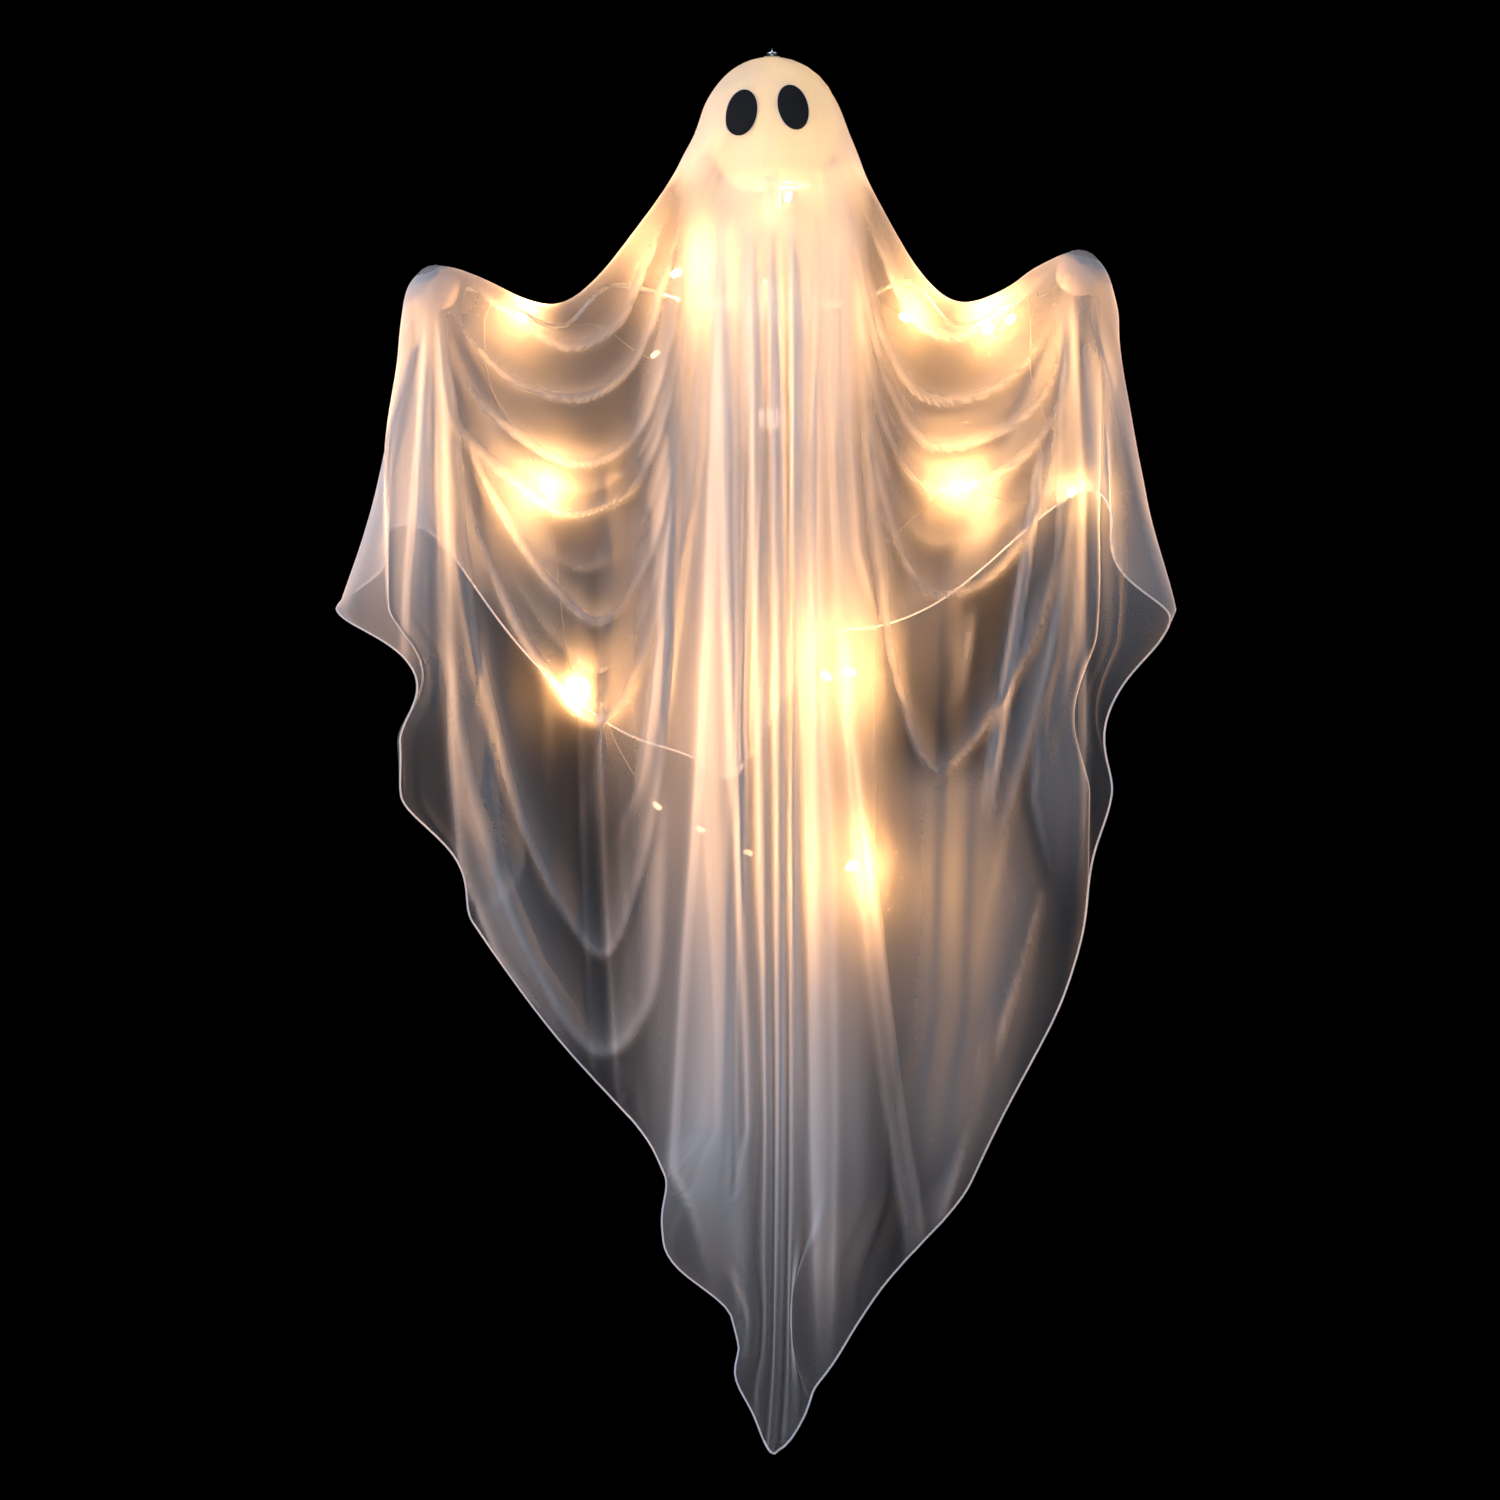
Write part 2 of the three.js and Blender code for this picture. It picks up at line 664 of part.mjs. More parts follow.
// Depth of the column: round on the ball, a tent down to the shoulders and a squarer band below them.
function columnShare(side, out, z) {
  const { shoulder } = side;
  const { lerp, smoothstep } = THREE.MathUtils;
  const rise = z - headZ;
  const round = rise > 0 ? Math.sqrt(Math.max(0, clothRadius ** 2 - rise ** 2)) : clothRadius;
  const [tangentX, tangentZ] = domePoint(domeEdge);
  const slope = (shoulder[0] - tangentX) / (tangentZ - shoulder[1]);
  const tent = z < tangentZ ? tangentX + (tangentZ - Math.max(z, shoulder[1])) * slope : 0;
  const spread = smoothstep(-rise, 8, 70);
  const below = smoothstep(shoulder[1] - z, -60, 60);
  const width = lerp(lerp(round, Math.max(round, tent), spread), columnHalf, below);
  const share = out < width ? Math.sqrt(1 - (out / width) ** lerp(2, columnSquare, below)) : 0;
  return { share, round };
}

// How far the cloth stands off the middle plane over the head, the spine and the arms.
function standOff(side, front, point, drop) {
  const { lerp, smoothstep } = THREE.MathUtils;
  const { x, z } = point;
  const out = Math.abs(x);
  const offBall = Math.max(
    smoothstep(headZ - z, 12, 90),
    smoothstep(out, 0.85 * clothRadius, 1.15 * clothRadius),
  );
  const { share, round } = columnShare(side, out, z);
  return lerp(offBall * swagOff(front, out, z, drop), round, share);
}

// The least that it stands off where it lies over a hand.
function handOff(side, point) {
  const { sign, hand } = side;
  const handOut = sign * point.x - hand[0];
  const handRise = point.z - hand[1];
  if (handRise < -handRadius) return -Infinity;
  const reach = handRadius + ridgeOverHand;
  return Math.sqrt(Math.max(0, reach ** 2 - Math.max(0, handRise) ** 2 - handOut ** 2));
}

// Rows down the cloth as shares of its drop: steps of angle over the ball, then wider ones.
function dropShares(front) {
  const drop = front ? -frontTip[1] : -backTip[1];
  const shares = [];
  for (let angle = 0; angle <= 90; angle += 18) {
    shares.push((clothRadius * (1 - Math.cos(THREE.MathUtils.degToRad(angle)))) / drop);
  }
  shares.push((1.35 * clothRadius) / drop);
  const start = shares[shares.length - 1];
  const wide = front ? 6 : 4;
  for (let i = 1; i <= wide; i += 1) {
    shares.push(start + (1 - start) * (i / wide) ** 1.5);
  }
  return shares;
}

// One point of a panel: u from -1 at the left edge to 1 at the right, share from the ridge to the hem.
function panelPoint(front, u, share) {
  const side = u < 0 ? sides.left : sides.right;
  const across = Math.abs(u);
  const top = ridgePoint(side, across);
  const hem = hemCurve(side, front).getPoint(across);
  const point = top.clone().lerp(hem, share);
  const drop = top.distanceTo(point);
  const edge = Math.min(1, (1 - across) / seamShare);
  const pleat = 0.5 - 0.5 * Math.cos(2 * Math.PI * pleatsPerSide * across);
  const grow = THREE.MathUtils.smoothstep(share, 0.04, 0.5);
  const free = standOff(side, front, point, drop) + pleatDepth * (pleat - 0.5) * grow;
  let depth = seamHalf + Math.max(edge * free, handOff(side, point));
  if (across < 0.02 && share === 0) depth = eyeShankRadius + 3 * seatGap + clothThick / 2;
  const onBall = share > 0 && share < dropShares(front)[5] && across < domeShare;
  if (onBall) {
    const rise = point.z - headZ;
    const ball = Math.sqrt(Math.max(0, clothRadius ** 2 - rise ** 2 - point.x ** 2));
    depth = Math.max(ball, seamHalf);
  }
  return new THREE.Vector3(point.x, front ? -depth : depth, point.z);
}

// A closed panel of even thickness on a grid of points.
function clothPanel(front) {
  const shares = dropShares(front);
  const columns = 2 * columnsPerSide;
  const rows = shares.length - 1;
  const grid = [];
  for (let i = 0; i <= columns; i += 1) {
    grid.push(shares.map((share) => panelPoint(front, i / columnsPerSide - 1, share)));
  }
  const positions = [];
  const half = clothThick / 2;
  for (const layer of [half, -half]) {
    for (let i = 0; i <= columns; i += 1) {
      for (let j = 0; j <= rows; j += 1) {
        const across = grid[Math.min(i + 1, columns)][j].clone().sub(grid[Math.max(i - 1, 0)][j]);
        const down = grid[i][Math.min(j + 1, rows)].clone().sub(grid[i][Math.max(j - 1, 0)]);
        const normal = across.cross(down).normalize();
        const point = grid[i][j].clone().addScaledVector(normal, layer);
        positions.push(point.x, point.y, point.z);
      }
    }
  }
  const count = (columns + 1) * (rows + 1);
  const at = (i, j, layer) => layer * count + i * (rows + 1) + j;
  const index = [];
  const quad = (a, b, c, d) => index.push(a, b, c, a, c, d);
  for (let i = 0; i < columns; i += 1) {
    for (let j = 0; j < rows; j += 1) {
      quad(at(i, j, 0), at(i + 1, j, 0), at(i + 1, j + 1, 0), at(i, j + 1, 0));
      quad(at(i, j, 1), at(i, j + 1, 1), at(i + 1, j + 1, 1), at(i + 1, j, 1));
    }
    quad(at(i, 0, 1), at(i + 1, 0, 1), at(i + 1, 0, 0), at(i, 0, 0));
    quad(at(i, rows, 0), at(i + 1, rows, 0), at(i + 1, rows, 1), at(i, rows, 1));
  }
  for (let j = 0; j < rows; j += 1) {
    quad(at(0, j, 0), at(0, j + 1, 0), at(0, j + 1, 1), at(0, j, 1));
    quad(at(columns, j, 1), at(columns, j + 1, 1), at(columns, j + 1, 0), at(columns, j, 0));
  }
  const geometry = new THREE.BufferGeometry();
  geometry.setAttribute('position', new THREE.Float32BufferAttribute(positions, 3));
  geometry.setIndex(index);
  return outward(geometry);
}

// Turns a closed mesh's faces outward if its volume comes out negative.
function outward(geometry) {
  const { position } = geometry.attributes;
  const index = geometry.index.array;
  const [a, b, c] = [new THREE.Vector3(), new THREE.Vector3(), new THREE.Vector3()];
  let volume = 0;
  for (let i = 0; i < index.length; i += 3) {
    a.fromBufferAttribute(position, index[i]);
    b.fromBufferAttribute(position, index[i + 1]);
    c.fromBufferAttribute(position, index[i + 2]);
    volume += a.dot(b.clone().cross(c));
  }
  if (volume < 0) {
    for (let i = 0; i < index.length; i += 3) {
      [index[i + 1], index[i + 2]] = [index[i + 2], index[i + 1]];
    }
  }
  geometry.computeVertexNormals();
  return geometry;
}

// An oval of felt just outside the cloth, which is round over the ball and hangs straight below.
function feltEye({ across, up, tilt }) {
  const oval = new THREE.Shape();
  const lean = THREE.MathUtils.degToRad(-tilt);
  oval.absellipse(0, 0, feltHalfWidth, feltHalfHeight, 0, 2 * Math.PI, false, lean);
  const prism = plate(oval, -2 * headRadius, 0, 8);
  prism.translate(across * clothRadius, 0, headZ + up * clothRadius);
  const innerRadius = clothRadius + clothThick / 2 + feltGap;
  const hood = (radius) => {
    const ball = new THREE.SphereGeometry(radius, feltRound, 32).rotateX(Math.PI / 2);
    return solidOf(ball).add(solidOf(rod(radius, -headRadius, 0, feltRound)));
  };
  const skin = hood(innerRadius + feltThick).subtract(hood(innerRadius)).translate([0, 0, headZ]);
  return geometryOf(skin.intersect(solidOf(prism)));
}

// Routes of the light wire. A fourth value of 1 marks a lamp.
const backOfTube = tubeRadius + switchDepth / 2;
const glandTopZ = switchZ + switchHeight / 2 + 2.5;
const leadRoute = [
  [0, backOfTube, glandTopZ + seatGap], [0, backOfTube + 0.4, -262], [-2, 18, -236], [-3, 19, -218],
  [-3, 18, -196], [-6, 17, -165], [-12, 17, -134], [-17, 12, -96, 1], [-10, -14, -62], [16, -14, -64, 1],
  [17, -15, -92], [14, 5, -126, 1], [6, -16, -158], [-12, -21, -186], [-34, -17, -198],
];
const leftArmRoute = [
  [-38, -15, -198.6], [-58, -11, -195], [-82, -8, -193, 1], [-97, -7, -222], [-100, -4, -262, 1],
  [-118, 4, -258], [-150, 6, -236], [-190, 7, -238], [-214, 5.5, -229, 1],
  ...clipStops(sides.left), [-246, 3, -230], [-247, 6.2, -233],
];
const leftDropRoute = [
  [-247, 6.6, -233.4], [-247, 8.2, -250], [-241, 7.6, -290], [-212, 2, -338], [-194.5, 2, -375, 1],
  [-186, 2, -430], [-178, 2, -500], [-166, 2, -549, 1], [-152, 3, -560], [-128, 3, -606],
  [-98.6, 3, -649, 1], [-61.7, 3, -669, 1], [-20.6, 3, -689, 1], [14, 3, -700],
];
const rightDropRoute = [
  [14.4, 3, -700.1], [42, 3, -704], [68.6, 3, -700, 1], [84, 3, -664], [88, 3, -600], [84, 3, -548],
  [66.8, 3, -534, 1], [46, 3, -537, 1], [44, 3, -500], [84, 3, -440], [128, 2, -396], [159, 2, -376, 1],
  [208, 2, -388], [258, 2, -380, 1], [262, 4, -350], [236, 7.6, -318], [223, 8.2, -280], [222, 8.2, -250],
  [222, 6.6, -236.4],
];
const rightArmRoute = [
  [222, 6.2, -236], [221, 3, -229], ...clipStops(sides.right, -1), [205, 5.3, -231, 1],
  [185, 5.3, -240, 1], [166, 5, -246], [142, 0, -240], [114, -7, -231, 1], [84, -11, -215],
  [56, -15, -204], [40, -18, -199],
];
const lightRuns = [
  { name: 'light_wire_lead', route: leadRoute, first: 1 },
  { name: 'light_wire_left_arm', route: leftArmRoute, first: 4 },
  { name: 'light_wire_left_drop', route: leftDropRoute, first: 7 },
  { name: 'light_wire_right_drop', route: rightDropRoute, first: 12 },
  { name: 'light_wire_right_arm', route: rightArmRoute, first: 17 },
];

function lampBead() {
  return turned([
    [lampBore, -lampLength / 2], [lampNeck, -lampLength / 2], [lampRadius, -lampLength / 4],
    [lampRadius, lampLength / 4], [lampNeck, lampLength / 2], [lampBore, lampLength / 2],
    [lampBore, -lampLength / 2],
  ], 7);
}

// A path that a tube follows through exactly the points given.
class StopPath extends THREE.Curve {
  constructor(stops) {
    super();
    this.stops = stops;
  }

  getUtoTmapping(u) {
    return u;
  }

  getPoint(t, target = new THREE.Vector3()) {
    const place = THREE.MathUtils.clamp(t, 0, 1) * (this.stops.length - 1);
    const i = Math.min(Math.floor(place), this.stops.length - 2);
    return target.lerpVectors(this.stops[i], this.stops[i + 1], place - i);
  }
}

// A run of the light wire with its lamps threaded on straight stretches of it.
function lightRun({ name, route, first }) {
  const curve = new THREE.CatmullRomCurve3(route.map(([x, y, z]) => new THREE.Vector3(x, y, z)));
  const last = route.length - 1;
  const straight = lampLength / 2 + 1.5;
  const stops = [];
  let number = first;
  route.forEach(([, , , lamp], i) => {
    const here = curve.getPoint(i / last);
    if (lamp) {
      const along = curve.getTangent(i / last);
      const turn = new THREE.Quaternion().setFromUnitVectors(new THREE.Vector3(0, 0, 1), along);
      const bead = lampBead().applyQuaternion(turn).translate(...here);
      add(`lamp_${String(number).padStart(2, '0')}`, bead, lampGlow);
      number += 1;
      stops.push(here.clone().addScaledVector(along, -straight));
      stops.push(here.clone().addScaledVector(along, straight));
    } else {
      stops.push(here);
    }
    if (i === last) return;
    const next = curve.getPoint((i + 1) / last);
    const pieces = Math.max(1, Math.round(here.distanceTo(next) / lightStep));
    for (let k = 1; k < pieces; k += 1) {
      const point = curve.getPoint((i + k / pieces) / last);
      const nearLamp = (lamp && point.distanceTo(here) < 1.5 * straight)
        || (route[i + 1][3] && point.distanceTo(next) < 1.5 * straight);
      if (!nearLamp) stops.push(point);
    }
  });
  add(name, tubeAlong(new StopPath(stops), lightWireRadius, stops.length - 1), clearPlastic);
  console.log(`${name} is ${curve.getLength().toFixed(0)} mm long`);
}

function addHead() {
  add('hanging_eye', hangingEye(), steel);
  add('head_shell', headShell(), milkyPlastic);
  add('crown_plug', crownPlug(), whitePlastic);
  const neck = ring(neckBore, neckRadius, couplerTopZ + seatGap, plugUnderZ - seatGap, 28);
  add('neck_tube', neck, whitePlastic);
  add('neck_spider', neckSpider(), whitePlastic);
}

function addBatteryTube() {
  add('tube_coupler', tubeCoupler(), whitePlastic);
  add('battery_tube', ring(tubeBore, tubeRadius, tubeFootZ, tubeTopZ, tubeRound), whitePlastic);
  add('top_contact', rod(cellRadius - 1, contactZ - contactThick, contactZ), brass);
  for (let i = 0; i < cellCount; i += 1) {
    add(`cell_${i + 1}`, cell(i), cellSkin);
  }
  add('contact_spring', contactSpring(), steel);
  add('battery_cap', batteryCap(), whitePlastic);
  add('switch_housing', switchHousing(), whitePlastic);
  add('switch_slider', switchSlider(), plastic(0x3a3c40, 0.5));
  const boardY = tubeRadius + switchWall + 0.4 + boardThick / 2 + seatGap;
  const boardWidth = switchWidth - 2 * switchWall - 2 * seatGap;
  const boardHeight = switchHeight - 2 * switchWall - 2 * runGap;
  add('circuit_board', box(boardWidth, boardThick, boardHeight, 0, boardY, switchZ), greenBoard);
}

function addArms() {
  add('hub_front', hubHalf(-1), whitePlastic);
  add('hub_back', hubHalf(1), whitePlastic);
  for (const [word, side] of Object.entries(sides)) {
    const { sign } = side;
    const screw = hubScrew(hubScrewRadius, hubScrewHead, 2, seatGap);
    add(`${word}_hub_screw`, screw.translate(sign * hubScrewReach, 0, hubZ + hubScrewLift), steel);
    const pivot = hubScrew(pivotRadius, pivotHead, pivotHeadHeight, washerThick + 2 * seatGap);
    add(`${word}_pivot_screw`, pivot.translate(sign * pivotReach, 0, hubZ), steel);
    const washerY = -(hubFace + seatGap);
    const washer = alongY(ring(pivotRadius + seatGap, washerRadius, washerY - washerThick, washerY, 20));
    add(`${word}_friction_washer`, washer.translate(sign * pivotReach, 0, hubZ), steel);
    add(`${word}_arm_lever`, armLever(sign), whitePlastic);
    add(`${word}_arm_wire`, tubeAlong(armCurve(side), armRadius, 28), steel);
    add(`${word}_hand_form`, handForm(side), foam);
    add(`${word}_wire_clip`, wireClip(side), clearPlastic);
  }
}

function addCloth() {
  add('front_drape', clothPanel(true), sheerCloth);
  add('back_drape', clothPanel(false), sheerCloth);
  for (const felt of felts) {
    add(felt.name, feltEye(felt), blackFelt);
  }
}

addHead();
addBatteryTube();
addArms();
lightRuns.forEach(lightRun);
addCloth();

export default group;
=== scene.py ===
import json
import math

import bpy
import numpy as np
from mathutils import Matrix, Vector
from mathutils.bvhtree import BVHTree


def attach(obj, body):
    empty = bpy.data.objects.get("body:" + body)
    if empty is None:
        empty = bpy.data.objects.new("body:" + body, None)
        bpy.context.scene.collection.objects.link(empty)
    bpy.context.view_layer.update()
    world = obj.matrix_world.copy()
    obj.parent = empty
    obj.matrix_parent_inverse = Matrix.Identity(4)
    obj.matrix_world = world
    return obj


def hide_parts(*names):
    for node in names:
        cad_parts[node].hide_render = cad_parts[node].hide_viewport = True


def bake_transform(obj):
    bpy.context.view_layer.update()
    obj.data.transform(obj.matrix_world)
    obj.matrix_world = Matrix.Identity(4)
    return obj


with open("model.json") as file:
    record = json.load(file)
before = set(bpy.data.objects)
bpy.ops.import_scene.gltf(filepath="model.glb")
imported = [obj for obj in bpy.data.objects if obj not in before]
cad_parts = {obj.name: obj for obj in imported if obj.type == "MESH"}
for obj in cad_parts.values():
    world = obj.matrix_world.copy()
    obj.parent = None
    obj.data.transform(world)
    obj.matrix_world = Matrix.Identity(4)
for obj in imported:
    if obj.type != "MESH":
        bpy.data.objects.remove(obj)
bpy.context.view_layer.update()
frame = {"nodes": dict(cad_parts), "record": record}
scene = bpy.context.scene
print("frame loaded:", len(frame["nodes"]), "nodes")

# the places that carry the cloth, metres, x measured outwards from the middle
arms = {
    "left": {"sign": -1, "shoulder": (0.1388, -0.191), "elbow": (0.1808, -0.226),
             "forearm": (0.232, -0.203), "hand": (0.288, -0.205), "corner": (0.375, -0.477)},
    "right": {"sign": 1, "shoulder": (0.119, -0.1877), "elbow": (0.160, -0.2254),
              "forearm": (0.212, -0.198), "hand": (0.263, -0.192), "corner": (0.347, -0.478)},
}
head = {"height": -0.066}


def addObject(name, mesh, *materials):
    obj = bpy.data.objects.new(name, mesh)
    scene.collection.objects.link(obj)
    for material in materials:
        mesh.materials.append(material)
    return obj


def meshFrom(name, points, faces, edges=()):
    mesh = bpy.data.meshes.new(name)
    mesh.from_pydata([tuple(p) for p in points], list(edges), faces)
    mesh.polygons.foreach_set("use_smooth", [True] * len(mesh.polygons))
    mesh.update()
    return mesh


def smoothStep(value, low, high):
    t = np.clip((value - low) / (high - low), 0, 1)
    return t * t * (3 - 2 * t)


# centripetal spline: its slope at each point, scaled for the span after it
def spanSlopes(p0, p1, p2, p3):
    d0, d1, d2 = (max((b - a).length, 1e-9) ** 0.5 for a, b in ((p0, p1), (p1, p2), (p2, p3)))
    m1 = (p1 - p0) / d0 - (p2 - p0) / (d0 + d1) + (p2 - p1) / d1
    m2 = (p2 - p1) / d1 - (p3 - p1) / (d1 + d2) + (p3 - p2) / d2
    return m1 * d1, m2 * d1


def withEnds(points):
    pts = [Vector(p) for p in points]
    return [2 * pts[0] - pts[1]] + pts + [2 * pts[-1] - pts[-2]]


def lengthAlong(line):
    return np.concatenate([[0], np.cumsum(np.linalg.norm(np.diff(line, axis=0), axis=1))])


# points in even steps on a smooth line through the given ones
def smoothLine(points, step):
    pts = withEnds(points)
    fine = []
    for i in range(1, len(pts) - 2):
        p0, p1, p2, p3 = pts[i - 1:i + 3]
        m1, m2 = spanSlopes(p0, p1, p2, p3)
        count = max(4, int(2 * (p2 - p1).length / step))
        for k in range(count):
            t = k / count
            fine.append(p1 * (2 * t ** 3 - 3 * t ** 2 + 1) + m1 * (t ** 3 - 2 * t ** 2 + t)
                        + p2 * (3 * t ** 2 - 2 * t ** 3) + m2 * (t ** 3 - t ** 2))
    fine.append(pts[-2])
    line = np.array([tuple(p) for p in fine])
    along = lengthAlong(line)
    places = np.linspace(0, along[-1], max(3, int(round(along[-1] / step)) + 1))
    return np.stack([np.interp(places, along, line[:, k]) for k in range(line.shape[1])], axis=1)


# camera: level, straight on, the plane of the arms at one pixel to 0.857 mm
view = {
    "lens": 100, "sensor": 36, "distance": 3.571, "aim": (-0.0189, 0, -0.6008),
    # the photo's middle pixel and the metres to a pixel at the front of the cloth
    "middle": 750, "pixel": 0.0008423,
}
camera = bpy.data.objects.new("camera", bpy.data.cameras.new("camera"))
camera.data.lens = view["lens"]
camera.data.sensor_width = view["sensor"]
camera.location = (view["aim"][0], -view["distance"], view["aim"][2])
camera.rotation_euler = (math.pi / 2, 0, 0)
scene.collection.objects.link(camera)
scene.camera = camera
scene.view_settings.view_transform = "Standard"


# materials: each is a group of textures with its own values set on the group's sockets
def newMaterial(name):
    material = bpy.data.materials.new(name)
    material.use_nodes = True
    return material, material.node_tree, material.node_tree.nodes["Principled BSDF"]


# a material that builds its own surface in place of the usual shader
def bareMaterial(name):
    material, tree, shader = newMaterial(name)
    tree.nodes.remove(shader)
    return material, tree, tree.nodes["Material Output"].inputs


# each socket takes a value or the output of another node
def feed(tree, sockets, values):
    for key, value in values.items():
        if isinstance(value, bpy.types.NodeSocket):
            tree.links.new(value, sockets[key])
        else:
            sockets[key].default_value = value


def newNode(tree, kind, values=None, **settings):
    node = tree.nodes.new(kind)
    for key, value in settings.items():
        setattr(node, key, value)
    feed(tree, node.inputs, values or {})
    return node


def shaderGroup(name, inputs, outputs):
    tree = bpy.data.node_groups.new(name, "ShaderNodeTree")
    for label, kind, value in inputs:
        socket = tree.interface.new_socket(name=label, in_out="INPUT", socket_type=kind)
        socket.default_value = value
    for label, kind in outputs:
        tree.interface.new_socket(name=label, in_out="OUTPUT", socket_type=kind)
    start, end = tree.nodes.new("NodeGroupInput"), tree.nodes.new("NodeGroupOutput")
    return tree, start, end


def math2(tree, kind, *values):
    return newNode(tree, "ShaderNodeMath", dict(enumerate(values)), operation=kind).outputs[0]


# moulding grain: a fine pebble over slow clouds
def buildGrain():
    tree, start, end = shaderGroup(
        "mouldGrain",
        [("Pebble Size", "NodeSocketFloat", 900.0), ("Cloud Size", "NodeSocketFloat", 25.0),
         ("Dark", "NodeSocketColor", (0.7, 0.7, 0.7, 1)), ("Light", "NodeSocketColor", (0.9, 0.9, 0.9, 1)),
         ("Smooth", "NodeSocketFloat", 0.35), ("Rough", "NodeSocketFloat", 0.55)],
        [("Colour", "NodeSocketColor"), ("Roughness", "NodeSocketFloat"), ("Height", "NodeSocketFloat")])
    given, place = start.outputs, newNode(tree, "ShaderNodeTexCoord").outputs["Object"]
    pebble, cloud = (newNode(tree, "ShaderNodeTexNoise", {"Vector": place, "Scale": given[size], "Detail": detail})
                     for size, detail in (("Pebble Size", 3), ("Cloud Size", 5)))
    mix = newNode(tree, "ShaderNodeMix", {"Factor": cloud.outputs["Fac"], "A": given["Dark"], "B": given["Light"]},
                  data_type="RGBA")
    span = newNode(tree, "ShaderNodeMapRange", {
        "Value": cloud.outputs["Fac"], "To Min": given["Smooth"], "To Max": given["Rough"]})
    feed(tree, end.inputs, {"Colour": mix.outputs["Result"], "Roughness": span.outputs["Result"],
                            "Height": pebble.outputs["Fac"]})
    return tree


# plain weave in the cloth's own measure, with thicker and thinner threads
def buildWeave():
    tree, start, end = shaderGroup(
        "voileWeave",
        [("Threads", "NodeSocketFloat", 4200.0), ("Streak Length", "NodeSocketFloat", 14.0),
         ("Streak Width", "NodeSocketFloat", 420.0), ("Slub", "NodeSocketFloat", 0.3)],
        [("Density", "NodeSocketFloat"), ("Height", "NodeSocketFloat")])
    given = start.outputs
    uv = newNode(tree, "ShaderNodeUVMap", uv_map="cut").outputs["UV"]
    split = newNode(tree, "ShaderNodeSeparateXYZ", {"Vector": uv}).outputs
    streaks = []
    for across, along in ((0, 1), (1, 0)):
        join = newNode(tree, "ShaderNodeCombineXYZ", {
            0: math2(tree, "MULTIPLY", split[across], given["Streak Width"]),
            1: math2(tree, "MULTIPLY", split[along], given["Streak Length"])})
        noise = newNode(tree, "ShaderNodeTexNoise", {"Vector": join.outputs["Vector"], "Scale": 1, "Detail": 2})
        streaks.append(noise.outputs["Fac"])
    both = math2(tree, "SUBTRACT", math2(tree, "ADD", *streaks), 1)
    density = math2(tree, "ADD", math2(tree, "MULTIPLY", both, given["Slub"]), 1)
    waves = [math2(tree, "SINE", math2(tree, "MULTIPLY", split[k], given["Threads"])) for k in (0, 1)]
    feed(tree, end.inputs, {"Density": density, "Height": math2(tree, "MULTIPLY", *waves)})
    return tree


grain, weave = buildGrain(), buildWeave()


def moulded(name, dark, light, rough=(0.35, 0.55), metal=0.0, pebble=900, cloud=25, bump=0.15, depth=0.0002,
            coat=0.0):
    material, tree, shader = newMaterial(name)
    made = newNode(tree, "ShaderNodeGroup", {
        "Pebble Size": pebble, "Cloud Size": cloud, "Dark": (*dark, 1), "Light": (*light, 1),
        "Smooth": rough[0], "Rough": rough[1]}, node_tree=grain).outputs
    relief = newNode(tree, "ShaderNodeBump", {"Strength": bump, "Distance": depth, "Height": made["Height"]})
    feed(tree, shader.inputs, {
        "Metallic": metal, "Coat Weight": coat, "Base Color": made["Colour"], "Roughness": made["Roughness"],
        "Normal": relief.outputs["Normal"]})
    return material


# one shader that throws light back and passes some on
def scattering(tree, passedOn, values):
    back, through = (newNode(tree, kind, values).outputs[0]
                     for kind in ("ShaderNodeBsdfDiffuse", "ShaderNodeBsdfTranslucent"))
    return newNode(tree, "ShaderNodeMixShader", {"Fac": passedOn, 1: back, 2: through}).outputs[0]


# sheer cloth: part of the light passes between the threads, the rest is scattered to both sides
sheerLook = {"leastSlant": 0.07, "bump": 0.05, "bumpDepth": 0.0001, "passedOn": 0.5}


def sheer(name, cover, gatherAndHighlightCover, tint, slub):
    material, tree, surface = bareMaterial(name)
    woven = newNode(tree, "ShaderNodeGroup", {"Slub": slub}, node_tree=weave).outputs
    # the gather attribute also carries painted highlights: thin lines of extra cover along fold crests and lap rims
    gatherAndHighlight = newNode(tree, "ShaderNodeAttribute", attribute_name="gatherAndHighlight").outputs["Fac"]
    facing = newNode(tree, "ShaderNodeLayerWeight", {"Blend": 0.5}).outputs["Facing"]
    # a slanted sheet is looked through along a longer way
    slant = math2(tree, "MAXIMUM", math2(tree, "SUBTRACT", 1, facing), sheerLook["leastSlant"])
    threads = math2(tree, "ADD", math2(tree, "MULTIPLY", gatherAndHighlight, gatherAndHighlightCover), cover)
    threads = math2(tree, "MULTIPLY", threads, woven["Density"])
    gaps = math2(tree, "POWER", math2(tree, "SUBTRACT", 1, threads), math2(tree, "DIVIDE", 1, slant))
    relief = newNode(tree, "ShaderNodeBump", {
        "Strength": sheerLook["bump"], "Distance": sheerLook["bumpDepth"], "Height": woven["Height"]})
    whole = newNode(tree, "ShaderNodeMixShader", {
        "Fac": math2(tree, "SUBTRACT", 1, gaps), 1: newNode(tree, "ShaderNodeBsdfTransparent").outputs[0],
        2: scattering(tree, sheerLook["passedOn"], {"Color": (*tint, 1), "Normal": relief.outputs["Normal"]})})
    feed(tree, surface, {"Surface": whole.outputs[0]})
    return material


def milkyShell():
    material, tree, surface = bareMaterial("milkyShell")
    colour = newNode(tree, "ShaderNodeGroup", {
        "Cloud Size": 40, "Dark": (0.93, 0.87, 0.72, 1), "Light": (0.97, 0.92, 0.80, 1)},
        node_tree=grain).outputs["Colour"]
    feed(tree, surface, {"Surface": scattering(tree, 0.72, {"Color": colour})})
    return material


